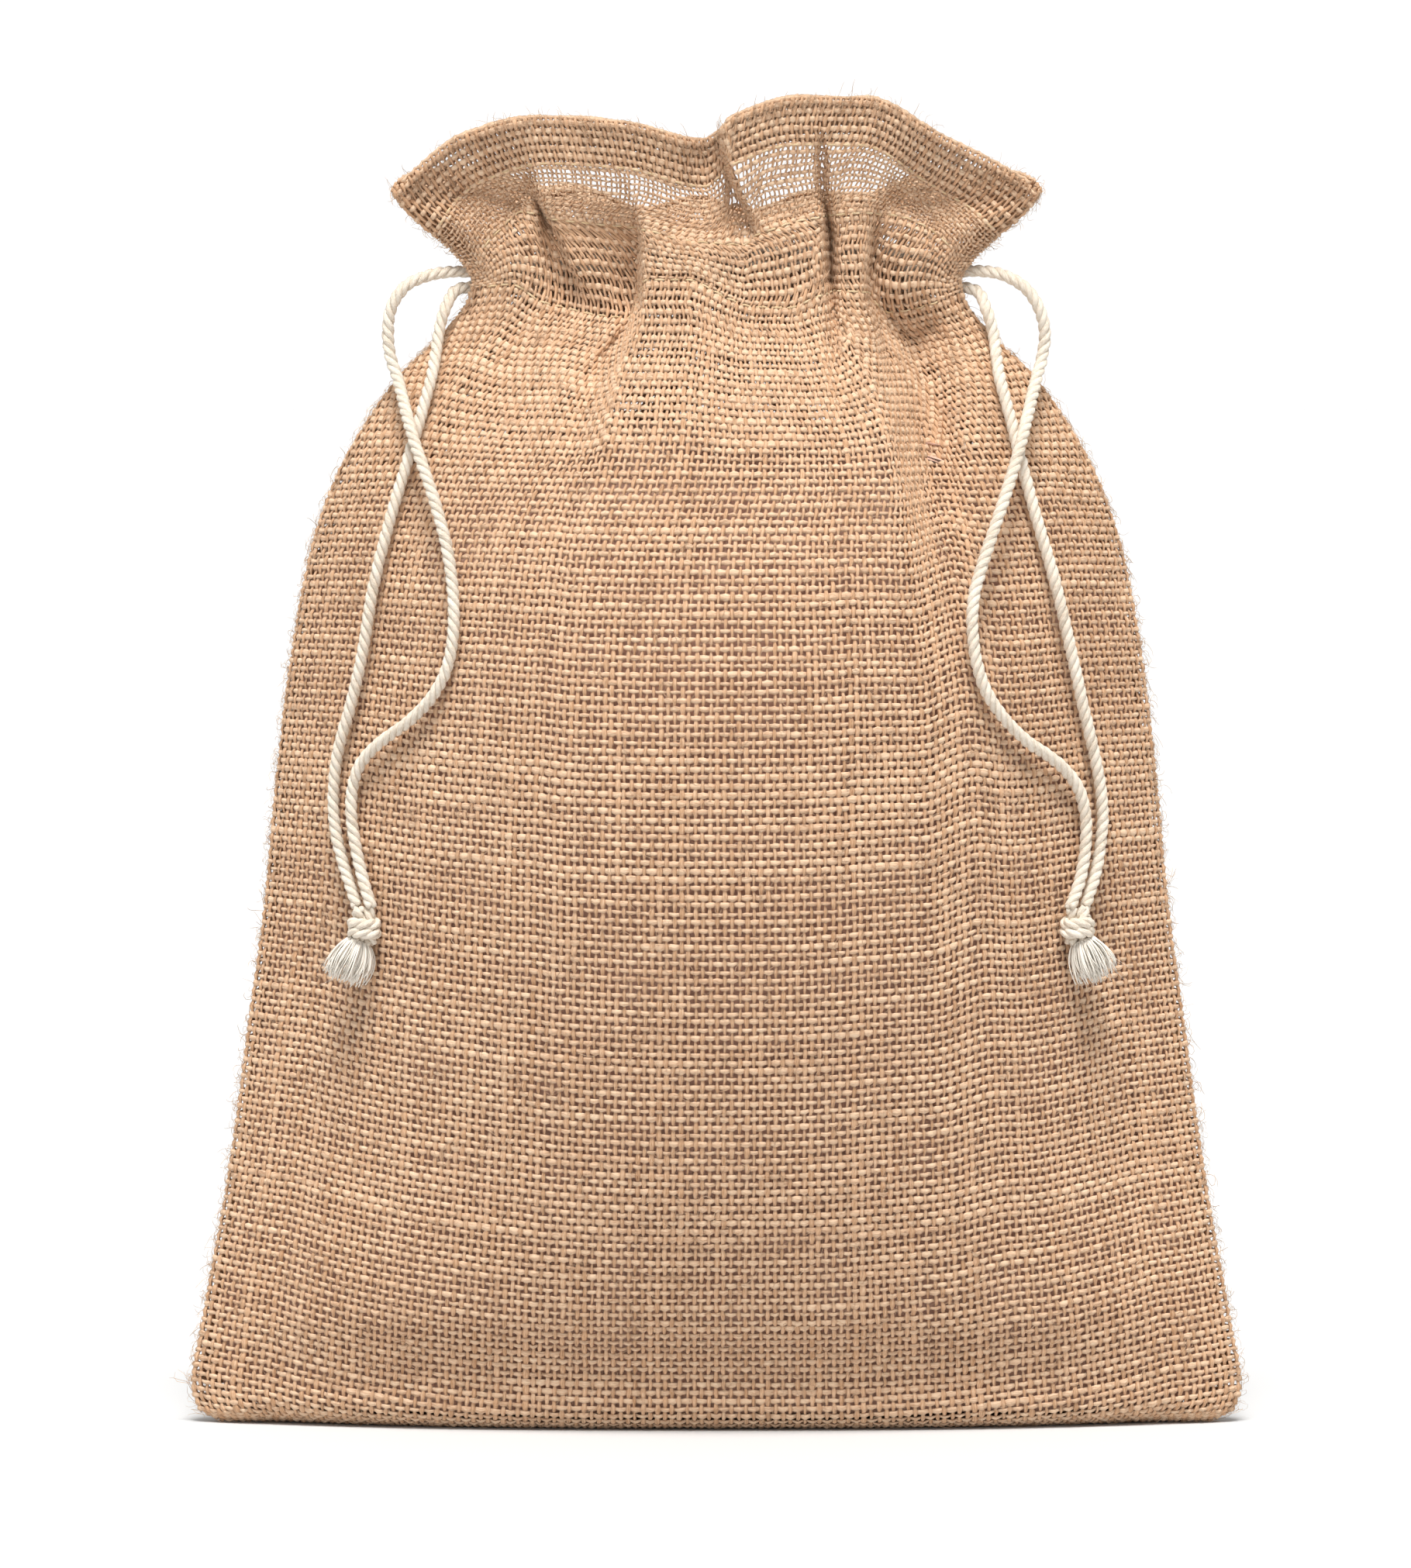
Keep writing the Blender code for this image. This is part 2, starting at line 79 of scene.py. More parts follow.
FIN_REACH = 12.0  # how far forward the header's side tips flare
BASE_END = 14.0
TURN_END = 27.0
NECK_LINE = 308.0
TOP_LINE = 350.0
CASING_HALF_HEIGHT = 8.0
HEM_HEIGHT = 10.5
SEAM_ALLOWANCE = 7.5
PULL_TAIL = 28.0
TAIL_LEVEL = 1.65
KNOT_HEIGHT = 120.3
KNOT_CENTRE = {-1: 82.9, 1: 84.95}
KNOT_RADII = (4.4, 3.5, 3.6)
TASSEL_LEAN = math.radians(22)
TAIL_START = 57.3
# Each hanging rope reaches into its tail, so that they stay joined as it swings.
ROPE_START = {"loop": 56.9, "front": 56.3}
ROUTES = dict(zip(((-1, "loop"), (-1, "front"), (1, "loop"), (1, "front")), table("""
58.9 273.7 0, 62.9 273.8 0.7, 66.6 273.3 1.2, 70.5 272.2 1.4, 74 270 1.6, 76.4 266.6 1.8, 77.6 261 2.2,
77.3 255 3.2, 75.4 249 4.9, 71.6 236 5.9, 66.9 223 4.7, 63.2 210 3, 61.5 196 2.4, 62.6 184 2.4,
66.2 176 2.4, 72 169.5 2.4, 78.8 164.2 2.4, 83.3 159.5 2.5, 85.6 153.5 2.5, 86 146.5 2.5, 84.9 139 2.5,
83.2 131.6 2.8, 81.2 125.2 3.6;
58.9 270.3 0, 61.3 269.7 0.4, 63.6 266.4 1.4, 65.2 261.5 2.6, 66.1 256 2.8, 67.2 249.5 2.8, 70.2 238.5 2.3,
73.2 228.4 2.3, 77 215.4 2.3, 80.7 200.5 2.3, 83.5 183.7 2.3, 86.6 170.7 2.3, 89.2 161.4 2.3,
90.3 152.1 2.3, 90.1 144.6 2.3, 88.6 137.2 2.4, 86.5 130.6 2.8, 84.6 125.2 3.6;
58.9 273.7 0, 62.6 274 0.7, 66.4 273.6 1.2, 72 270.9 1.5, 75.7 266.4 1.8, 77.6 260 2.2, 76.9 253.5 3.2,
74.9 246.5 4.9, 71.4 233.5 5.9, 67.4 221 4.7, 63.2 209 3, 60.2 198.6 2.4, 60 189.3 2.4, 61.8 180 2.4,
65.6 172.6 2.4, 72 165.3 2.4, 79.4 159.8 2.4, 84.6 154 2.5, 86.9 146.5 2.5, 86.8 138 2.5, 85.5 131 2.8,
83.2 124.9 3.6;
58.9 270.3 0, 61.3 269.5 0.4, 63.5 265.8 1.4, 65.6 258.5 2.8, 66.6 250 2.8, 69.2 240 2.3, 72 228.5 2.3,
75.4 216 2.3, 79.6 201.5 2.3, 83.6 184.5 2.3, 86.8 170 2.3, 89.4 159 2.3, 91 148.3 2.3, 90.6 139.5 2.4,
89 131.5 2.8, 86.7 124.9 3.6""")))

# The folds of the front: each line is a crest or a valley, from left to right, as places
# (height, x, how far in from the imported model's surface).
FRONT_FOLDS = table("""
262 -58 0, 268 -58 0, 274 -58 2, 278 -59 6, 286 -60 8, 293 -62 7, 300 -66 3, 308 -68 1;
225 -75 0, 250 -62 -0.5, 266 -53 -1, 273 -53 -1, 279 -53 0, 283 -53 7, 290 -54 9, 297 -55 5, 308 -56 1;
225 -65 0, 250 -55 -1, 266 -48 -1, 274 -47.5 -1.5, 282 -47.5 -1, 285.5 -47.5 2, 289 -47.5 8, 297 -47.5 4,
308 -48 0;
225 -58 0, 250 -48 0, 262 -42 0, 272 -41.5 2, 282 -42.5 2, 288 -43 3, 293 -44.6 6, 300 -45 2, 308 -45 0;
225 -50 0, 250 -42 0, 260 -34 1, 266 -34.5 5, 272 -35 9, 277 -36.8 10, 283 -39.2 10, 288 -41.5 9,
293 -43.4 4, 300 -43.6 1, 308 -43.6 0;
225 -44 0, 250 -38 0, 260 -27 1, 264 -27 4, 269 -29.4 4, 276 -33.6 2.5, 283 -36.6 2, 290 -40.4 1, 296 -42 1,
308 -42 0;
225 -40 0, 250 -33 1, 260 -24 2, 266 -23 7, 272 -25 6, 280 -27 4.5, 290 -30 1.5, 297 -32 1, 308 -32 0;
225 -36 1, 242 -31 3, 255 -26 4.5, 262 -20.8 5.5, 267 -18.6 9, 275 -18.4 9.5, 284 -18.4 6, 290 -21 2.5,
297 -24 1.5, 308 -26 0;
225 -30 -0.5, 242 -25 -1, 255 -20 -1.2, 262 -17.6 -1.2, 267 -16.4 -1, 275 -16.4 -1, 284 -16.6 -0.5,
290 -18 1, 297 -20 1, 308 -20 0;
225 -15 -0.5, 250 -10 -1.5, 272 -8 -1.5, 281 -8 -0.5, 286 -9 2.5, 294 -9 5, 300 -9 4.5, 308 -9 3;
225 0 0, 250 3 -0.5, 266 4 -0.5, 272 4 0.5, 279 3 0.5, 284 1 4, 294 -2.5 8, 300 -3.5 8, 305 -4 7, 312 -4 6;
250 6 0, 272 8 1, 279 7.5 1, 283.5 8.5 4, 290 5.5 8.5, 296.6 2.6 10, 304 0.6 9, 312 0 8;
250 9 0, 272 11 0.8, 279 10 0.5, 283.5 10.2 1.5, 290 7.6 1, 296.6 4.4 -0.5, 304 2.4 -1, 312 2 -1;
240 18 -0.5, 262 18 -0.5, 272 18 -1.5, 280 18 -1.5, 285 18 0, 288 17 2.5, 296 15 1, 304 14 -0.5, 314 14 -1;
240 25 -0.3, 262 24.6 -0.3, 270 24.6 0, 280 24.4 0, 287 24 0.5, 291 23 2, 298 22.6 1.5, 306 22.5 0;
240 28 0.5, 258 28 2, 266 27.6 5, 272 27.2 9, 282 27 9, 288 25.8 7, 294 24.8 5.5, 302 24.6 4, 308 24.6 1;
240 31 0, 262 30 0, 272 29.4 1, 282 29.2 1, 288 28.4 1.5, 295 27.5 1.5, 303 27 0.5, 308 27 0;
210 44 0, 229 38.5 -0.5, 242 37 -1, 255 35.6 -1.5, 268 33 -1.5, 280 32.6 -1, 288 32.5 0, 296 32 1, 308 32 0;
200 52 0, 210 48 0.5, 229 41 0.5, 242 39.2 0.5, 255 37.4 0, 262 36.3 0, 268 34.4 0, 280 34.6 0.5, 288 36 1,
296 37 1.5, 308 38 0;
200 56 0, 210 53 1.5, 229 45.6 4.5, 242 43.2 6, 255 40.2 7, 262 38.4 8, 268 36.2 8, 276 36.2 7, 284 37.5 5,
290 38.5 2.5, 298 40 1.5, 308 41 0;
200 60 0, 215 55 2, 229 49 5, 242 46.8 7.5, 252 45.8 10, 259 45.4 10.5, 263 44.5 9, 266.5 43 4, 271 42 2,
280 41.5 2, 286 41 3, 291 42 5, 298 43 2.5, 308 44 0;
215 62 0, 240 56 0.5, 255 52.5 3, 262 50.5 4, 266.5 49 1, 272 48.3 -1.2, 278 48.3 -1.5, 283 47.8 -0.5,
286 47.6 3, 290 47.6 8, 297 48 4.5, 308 48.5 0;
220 70 0, 250 60 0, 264 55 -0.5, 272 54.4 -1, 278 54 0, 282 53.6 6, 288 54 9, 296 55.5 5.5, 308 57 1;
262 60 0, 270 59 0, 275 58.6 3, 280 59.5 7, 288 61 8, 296 64 5, 306 69 1""")
# The same for the back, by distance up the cloth from 36 below the neck line.
BACK_FOLDS = table("""
215 -66 0, 255 -58 0, 272 -52 -1, 290 -54 0, 314 -62 0;
215 -60 0, 245 -52 2, 262 -46 6, 272 -43 8, 284 -44 7, 300 -50 3, 314 -54 1;
215 -46 0, 245 -41 0, 262 -37 -0.5, 272 -35 -1, 284 -36 -1, 300 -41 0, 314 -45 -1;
215 -38 0, 240 -33 2.5, 258 -28 7, 272 -26 9, 284 -26.5 8, 300 -31 4, 314 -34 2;
215 -27 0, 245 -22 -0.5, 262 -17 -1, 272 -15 -1, 284 -15 -1, 300 -18 -1, 314 -20 -1;
215 -14 0, 245 -10 1, 262 -6 5, 272 -4 8.5, 284 -3 8, 300 -4 4, 314 -5 2;
215 0 0, 245 3 -0.5, 262 6 -1, 272 7 -1, 284 8 -1, 300 8 -0.5, 314 8 -1;
215 16 0, 240 17 3, 258 18 7.5, 272 18.5 9.5, 284 19 8, 300 22 4, 314 24 2;
215 30 0, 245 28 -0.5, 262 28 -1, 272 28 -1, 284 30 -1, 300 34 0, 314 38 -1;
215 44 0, 245 40 2, 262 37.5 6.5, 272 36.5 8.5, 284 38 7, 300 44 3, 314 49 1;
215 58 0, 245 53 0, 262 49 -0.5, 272 48 -1, 284 50 -1, 300 57 0, 314 62 0""")
FOLDS_FROM = (198.0, 226.0)
# Soft dents and swellings of the body: x, height, their half sizes and how far in they go.
DENTS = dict(zip((-1, 1), table("""
-88 188 14 26 2.2, 86 186 14 28 2.2, -62 226 12 18 1.6, -28 150 40 30 -0.8, 24 118 34 34 -0.8,
-98 96 10 30 1.6, 98 76 12 30 2, -60 60 24 24 0.9, 60 40 26 20 0.9, 4 30 30 18 0.7, 0 190 26 26 0.6,
66 214 8 24 1.6, 52 238 6.5 22 9.5, 57 206 9 20 4.4, 42 228 5 22 -2.4, -46 240 9 16 4, -30 262 7 9 3,
12 250 14 12 -1.6;
-84 190 14 26 2, 88 184 14 26 2, -40 120 36 30 -0.8, 30 160 36 32 -0.8, 0 60 30 26 1, -94 80 12 30 1.6,
92 92 12 30 1.6, 10 206 22 22 1.2""")))
# Heights of the casing's two edges across the front, as places (x, height).
CASING_LOW, = table("""
-57.8 269.6, -48.2 271, -40.7 267, -34.1 265.2, -27.1 263.8, -19.4 263, -16.2 272.4, -6.9 272.4,
-1.3 270.1, 2.3 268.1, 8.5 266, 16.2 265.8, 23.5 268.4, 29 269.6, 34.8 269.2, 38.5 264.5, 49.8 266.5,
57.8 269.6""")
CASING_TOP, = table("""
-57.8 275.6, -53 281, -48 284.5, -42 288, -36 286.5, -27 285.4, -17.2 284.4, -8.3 281.6, 6.6 280.4,
10 283, 24.5 287.2, 33 288, 39.5 287.2, 47.2 284.1, 53.9 280, 57.8 275.6""")

WARP_COUNT = 147
WEFT_COUNT = 175
WARP_PITCH = 1.7
WEFT_PITCH = 2.0
WARP_HALF_WIDTH = 0.54
WEFT_HALF_WIDTH = 0.70
YARN_HALF_HEIGHT = 0.31
CRIMP = 0.37  # how far a yarn rises over a crossing
CLOTH_INSET = 0.5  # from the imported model's surface to the middle of the cloth
CASING_BACK = 1.75  # from the mid plane to the strip behind each cord
CASING_CORD = 3.55  # and to the cord in front of it
CASING_ROOM = 5.5  # and to the innermost pleats
FLOOR_CLEARANCE = 0.12
WINDOW_ROWS = (317, 339)  # single, stretched cloth between the casing and the hem
WINDOW_THINNING = 0.3
GATHER_ROWS = (262, 300)  # where the drawn-in cloth lies closest below the casing
GATHER_GAIN = 0.2
OVER_WIDTH, UNDER_WIDTH = 1.12, 0.86  # a yarn is wider over a crossing than under it
MOST_WIDTH = 0.56  # half a yarn's width at most, as a share of the distance between yarns
LAYER_OFFSET = 0.42  # from the mid surface of a seam allowance to each of its layers
FILLING_INSET = 2.6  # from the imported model's surface to the filling
SHOULDER_T = 258.0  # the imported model's t at the shoulder, below which the folds don't pull the cloth up
# How far up the flat cloth its fixed lines lie: base, shoulder, casing, hem and top.
MARKS = np.array([0.0, 250.0, NECK_LINE - CASING_HALF_HEIGHT, NECK_LINE + CASING_HALF_HEIGHT,
                  TOP_LINE - HEM_HEIGHT, TOP_LINE])


def smooth_value(x, points):
    """A smooth curve through the points that never swings past them."""
    xs, ys = np.array(points, float).T
    step = np.diff(xs)
    rise = np.diff(ys) / step
    slope = np.concatenate([rise[:1], (rise[:-1] + rise[1:]) / 2, rise[-1:]])
    for k in range(1, len(xs) - 1):
        before, after = rise[k - 1], rise[k]
        slope[k] = 2 * before * after / (before + after) if before * after > 0 else 0.0
    x = np.clip(x, xs[0], xs[-1])
    k = np.clip(np.searchsorted(xs, x, side="right") - 1, 0, len(xs) - 2)
    f = (x - xs[k]) / step[k]
    return ((1 + 2 * f) * (1 - f) ** 2 * ys[k] + f * (1 - f) ** 2 * step[k] * slope[k]
            + f * f * (3 - 2 * f) * ys[k + 1] - f * f * (1 - f) * step[k] * slope[k + 1])


def ease(x):
    x = np.clip(x, 0, 1)
    return x * x * (3 - 2 * x)


def near_slit(height):
    return ease(1 - np.abs(height - NECK_HEIGHT) / (1.6 * SLIT_HALF_HEIGHT))


def edge_depth(s, height):
    """How far a panel lies from the mid plane before its bulge: the side edges are rounded together,
    except where the cords come out."""
    far = np.clip((np.abs(s) - 0.9) / 0.1, 0, 1)
    rounded = np.sqrt(1 - far * far)
    corner = 0.5 * np.clip(1 - height / 15, 0, 1)
    near = near_slit(height)
    return EDGE_DEPTH * np.maximum(rounded, np.maximum(near, corner)) + SLIT_DEPTH * near


def bulge(s, height):
    power = smooth_value(height, [(0, 2.6), (8, 2.6), (80, 2.0), (272, 2.0)])
    return smooth_value(height, BULGE) * (1 - np.abs(s) ** power)


def between(t, i, j, fi, fj):
    """Values of a table between the places i, j and the next ones."""
    return (t[i, j] * (1 - fi) * (1 - fj) + t[i + 1, j] * fi * (1 - fj)
            + t[i, j + 1] * (1 - fi) * fj + t[i + 1, j + 1] * fi * fj)


class Field:
    """How far in the folds go, looked up by x and height."""

    STEP = 0.25

    def __init__(self, lines):
        self.xs = np.arange(-90, 90 + self.STEP, self.STEP)
        self.zs = np.arange(FOLDS_FROM[0], 318, 0.5)
        self.table = np.zeros((len(self.zs), len(self.xs)))
        for k, z in enumerate(self.zs):
            spots = [(-90.0, 0.0)]
            for line in lines:
                heights, places, depths = np.array(line, float).T
                spots.append((max(np.interp(z, heights, places), spots[-1][0] + 0.4),
                              np.interp(z, heights, depths)))
            spots.append((max(90.0, spots[-1][0] + 1), 0.0))
            fade = ease((z - FOLDS_FROM[0]) / (FOLDS_FROM[1] - FOLDS_FROM[0]))
            self.table[k] = fade * smooth_value(self.xs, spots)

    def __call__(self, x, z):
        a = np.clip((z - self.zs[0]) / 0.5, 0, len(self.zs) - 1.001)
        b = np.clip((x - self.xs[0]) / self.STEP, 0, len(self.xs) - 1.001)
        i, j = a.astype(int), b.astype(int)
        fa, fb = a - i, b - j
        return np.where(z < self.zs[0], 0.0, between(self.table, i, j, fa, fb))


fields = {-1: Field(FRONT_FOLDS), 1: Field(BACK_FOLDS)}


def fin_forward(s, along):
    """How far both panels flare forward towards the header's side tips."""
    return FIN_REACH * np.abs(s) ** 6 * along ** 1.5


def surface(side, s, t):
    """The middle of the front (side -1) or back (side 1) cloth, with its folds."""
    s, t = np.broadcast_arrays(np.asarray(s, float), np.asarray(t, float))
    reach = edge_depth(s, 0.0) + BASE_HALF_DEPTH * (1 - np.abs(s) ** 2.6)
    radius = np.minimum(TURN_RADIUS, reach - 0.5)
    angle = np.clip((t - BASE_END) / (TURN_END - BASE_END), 0, 1) * math.pi / 2
    low_depth = GAP / 2 + (reach - radius - GAP / 2) * np.clip(t / BASE_END, 0, 1) + radius * np.sin(angle)
    low_height = radius * (1 - np.cos(angle))
    rise = np.clip((t - TURN_END) / (NECK_LINE - TURN_END), 0, 1)
    wall_height = radius + (NECK_HEIGHT - radius) * rise
    wall_depth = edge_depth(s, wall_height) + bulge(s, wall_height)

    along = np.clip((t - NECK_LINE) / (TOP_LINE - NECK_LINE), 0, 1.02)
    flare = along * along * (3 - 2 * along) * 0.6 + along * 0.4
    lens = 1 - s * s
    neck_bulge = BULGE[-1][1]
    rise = smooth_value(s, TOP_EDGE) - NECK_HEIGHT
    lean = 0.0 * s
    if side < 0:
        top_depth = (neck_bulge + (HEADER_BULGE - neck_bulge) * along) * lens
        top_height = NECK_HEIGHT + rise * along
    else:
        tip_rise = TOP_EDGE[0][1] - NECK_HEIGHT
        length = tip_rise + (BACK_HEADER_LENGTH - tip_rise) * np.sqrt(lens)
        casing_top = NECK_LINE + CASING_HALF_HEIGHT
        above = np.clip((t - casing_top) / (TOP_LINE - casing_top), 0, 1)
        lean = BACK_HEADER_LEAN * lens ** 0.8 * np.sqrt(above)
        top_depth = neck_bulge * lens + length * along * np.sin(lean)
        top_height = NECK_HEIGHT + length * along * np.cos(lean)
    top_depth = top_depth + edge_depth(s, top_height)
    top_x = s * (NECK_HALF_WIDTH + (TIP_HALF_WIDTH - NECK_HALF_WIDTH) * flare)

    low, top = t < TURN_END, t > NECK_LINE
    height = np.where(low, low_height, np.where(top, top_height, wall_height))
    x = np.where(top, top_x, s * smooth_value(height, OUTLINE))
    depth = np.where(low, low_depth, np.where(top, top_depth, wall_depth))

    level = height if side < 0 else np.where(top, NECK_HEIGHT + t - NECK_LINE, height)
    inward = fields[side](x, level)
    for dent_x, dent_z, wide, tall, deep in DENTS[side]:
        inward = inward + deep * np.exp(-((x - dent_x) / wide) ** 2 - ((height - dent_z) / tall) ** 2)
    inward = inward * (1 - np.abs(s) ** 8) * ease(height / 14)
    # At the base the middle of the cloth lies above the floor instead of behind the surface.
    standing = ease(height / TURN_RADIUS)
    inset = CLOTH_INSET * standing * np.clip((1 - np.abs(s)) / 0.02, 0, 1)
    inward = inward + inset
    lift = CLOTH_INSET * 1.25 * (1 - standing)
    # Pleats leave room for the cords in the neck, and never cross the mid plane.
    room = 0.4 + (CASING_ROOM - 0.4) * ease(1.6 - np.abs(height - 274.5) / 12)
    inward = np.minimum(inward, depth - np.minimum(room, depth - inset))
    forward = np.where(top, fin_forward(s, along), 0.0)
    return np.stack([x, side * (depth - inward * np.cos(lean)) - forward,
                     height + inward * np.sin(lean) + lift], -1)


def top_t(s, height):
    """The t of a height on the front, at or above which the header starts."""
    radius = np.minimum(TURN_RADIUS, edge_depth(s, 0.0) + BASE_HALF_DEPTH * (1 - np.abs(s) ** 2.6) - 0.5)
    below = TURN_END + (height - radius) / (NECK_HEIGHT - radius) * (NECK_LINE - TURN_END)
    rise = smooth_value(s, TOP_EDGE) - NECK_HEIGHT
    above = NECK_LINE + (height - NECK_HEIGHT) / rise * (TOP_LINE - NECK_LINE)
    return np.where(height < NECK_HEIGHT, below, above)


def lines_of(side, s):
    """The t of the lines that stay in place on the cloth: base, casing, hem and top."""
    low = np.full_like(s, NECK_LINE - CASING_HALF_HEIGHT)
    top = np.full_like(s, NECK_LINE + CASING_HALF_HEIGHT)
    hem = np.full_like(s, TOP_LINE - HEM_HEIGHT)
    if side < 0:
        x = s * NECK_HALF_WIDTH
        low = top_t(s, smooth_value(x, CASING_LOW))
        top = top_t(s, smooth_value(x * 1.06, CASING_TOP))
        hem = top_t(s, smooth_value(s, TOP_EDGE) - HEM_HEIGHT)
    return np.stack([0 * s, 0 * s + SHOULDER_T, low, top, hem, 0 * s + TOP_LINE])


def spaced(values, points, wanted):
    """Values at even distances along each column of points, at the wanted shares of its length."""
    run = np.vstack([np.zeros(points.shape[1]),
                     np.cumsum(np.linalg.norm(np.diff(points, axis=0), axis=2), axis=0)])
    run /= run[-1]
    return np.stack([np.interp(wanted, run[:, k], values[:, k]) for k in range(points.shape[1])], 1)


class Cloth:
    """A panel's cloth at half-pitch places: rows up the cloth by columns across it."""

    def __init__(self, side):
        fine = np.linspace(-1, 1, 561)
        lines = lines_of(side, fine)
        heights = np.arange(2 * WEFT_COUNT + 1) * WEFT_PITCH / 2
        t = np.zeros((len(heights), len(fine)))
        for k in range(len(MARKS) - 1):
            share = np.linspace(0, 1, 400 if k == 0 else 80)[:, None]
            values = lines[k] + (lines[k + 1] - lines[k]) * share
            chosen = (heights >= MARKS[k]) & (heights <= MARKS[k + 1])
            wanted = (heights[chosen] - MARKS[k]) / (MARKS[k + 1] - MARKS[k])
            t[chosen] = spaced(values, surface(side, fine[None, :], values), wanted)
        points = surface(side, fine[None, :], t)
        share = np.linspace(0, 1, 2 * WARP_COUNT + 1)
        s = spaced(np.repeat(fine[:, None], len(heights), 1), points.transpose(1, 0, 2), share).T
        rows = np.arange(len(heights))
        t = np.stack([np.interp(s[r], fine, t[r]) for r in rows])
        self.points = surface(side, s, t)
        across = np.gradient(self.points, axis=1)
        up = np.gradient(self.points, axis=0)
        normal = -side * np.cross(across, up)
        self.normals = normal / np.maximum(np.linalg.norm(normal, axis=2, keepdims=True), 1e-9)
        self.pitch_across = 2 * np.linalg.norm(across, axis=2)
        self.pitch_up = 2 * np.linalg.norm(up, axis=2)

    def at(self, what, row, column):
        """A value between the places, carried on straight past the edges."""
        row, column = np.broadcast_arrays(np.asarray(row, float), np.asarray(column, float))
        i = np.clip(np.floor(row).astype(int), 0, what.shape[0] - 2)
        j = np.clip(np.floor(column).astype(int), 0, what.shape[1] - 2)
        fi, fj = (row - i)[..., None], (column - j)[..., None]
        return between(what, i, j, fi, fj)


def unit(vectors):
    return vectors / np.maximum(np.linalg.norm(vectors, axis=-1, keepdims=True), 1e-9)


def wander(count, length, spacing, reach):
    """Smooth random values: one row for each of count yarns, changing over reach."""
    knots = int(length * spacing / reach) + 3
    values = rng.normal(size=(count, knots))
    at = np.arange(length) * spacing / reach
    i = at.astype(int)
    f = ease(at - i)
    return values[:, i] * (1 - f) + values[:, i + 1] * f


def tubes(centres, normals, wide, high, sides, tone=None):
    """Closed tubes: centres and normals are yarns by rings by 3, wide and high their half sizes."""
    yarns, rings = centres.shape[:2]
    along = unit(np.gradient(centres, axis=1))
    across = unit(np.cross(along, normals))
    out = unit(np.cross(across, along))
    turn = np.arange(sides) / sides * 2 * math.pi
    wide, high = np.broadcast_to(wide, (yarns, rings)), np.broadcast_to(high, (yarns, rings))
    points = (centres[:, :, None] + across[:, :, None] * (wide[..., None] * np.cos(turn))[..., None]
              + out[:, :, None] * (high[..., None] * np.sin(turn))[..., None])
    index = np.arange(yarns * rings * sides).reshape(yarns, rings, sides)
    after = np.roll(index, -1, axis=2)
    quads = np.stack([index[:, :-1], after[:, :-1], after[:, 1:], index[:, 1:]], -1).reshape(-1, 4)
    caps = np.concatenate([index[:, 0, ::-1], index[:, -1]])
    step = np.linalg.norm(np.diff(centres, axis=1), axis=2)
    run = np.concatenate([np.zeros((yarns, 1)), np.cumsum(step, axis=1)], 1)
    yarn = np.zeros((yarns, rings, sides, 3))
    yarn[..., 0] = run[..., None]
    yarn[..., 1] = np.abs(turn / math.pi - 1) * 2
    yarn[..., 2] = (np.arange(yarns) * 7.31 % 97.0)[:, None, None]
    shade = np.zeros((yarns, rings)) if tone is None else np.broadcast_to(tone, (yarns, rings))
    return {"points": points.reshape(-1, 3), "quads": quads, "caps": caps,
            "yarn": yarn.reshape(-1, 3), "tone": np.repeat(shade.reshape(-1), sides)}


def joined(parts):
    """Several sets of tubes as one, each with the number of its material."""
    whole = {key: [] for key in ("points", "quads", "caps", "yarn", "tone", "slots")}
    start = 0
    for part in parts:
        for key in ("points", "yarn", "tone"):
            whole[key].append(part[key])
        for key in ("quads", "caps"):
            whole[key].append(part[key] + start)
        whole["slots"].append(part.get("slot", 0))
        start += len(part["points"])
    return whole


def placed(name, data):
    """A new object in the scene."""
    made = bpy.data.objects.new(name, data)
    scene.collection.objects.link(made)
    return made


def make_mesh(name, parts, materials):
    whole = joined(parts)
    mesh = bpy.data.meshes.new(name)
    points = np.concatenate(whole["points"]) * METRE
    mesh.vertices.add(len(points))
    mesh.vertices.foreach_set("co", points.astype(np.float32).ravel())
    corners, starts, slots, filled = [], [], [], 0
    for faces in ("quads", "caps"):
        for k, group in enumerate(whole[faces]):
            if len(group) == 0:
                continue
            corners.append(group.ravel())
            starts.append(filled + np.arange(len(group)) * group.shape[1])
            slots.append(np.full(len(group), whole["slots"][k]))
            filled += group.size
    corners, starts, slots = np.concatenate(corners), np.concatenate(starts), np.concatenate(slots)
    mesh.loops.add(len(corners))
    mesh.loops.foreach_set("vertex_index", corners.astype(np.int32))
    mesh.polygons.add(len(starts))
    mesh.polygons.foreach_set("loop_start", starts.astype(np.int32))
    mesh.polygons.foreach_set("material_index", slots.astype(np.int32))
    mesh.update(calc_edges=True)
    mesh.validate()
    mesh.shade_smooth()
    mesh.attributes.new("yarn", "FLOAT_VECTOR", "POINT").data.foreach_set(
        "vector", np.concatenate(whole["yarn"]).astype(np.float32).ravel())
    mesh.attributes.new("tone", "FLOAT", "POINT").data.foreach_set(
        "value", np.concatenate(whole["tone"]).astype(np.float32))
    for material in materials:
        mesh.materials.append(material)
    return placed(name, mesh)


def piece(name, parts, materials, body, slot, *nodes):
    """A visible piece with its materials that rides on a body and stands for CAD nodes; slot is not used."""
    made = make_mesh(name, parts, materials)
    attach(made, body)
    if nodes:
        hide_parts(*nodes)
    return made


# ---------------------------------------------------------------- materials

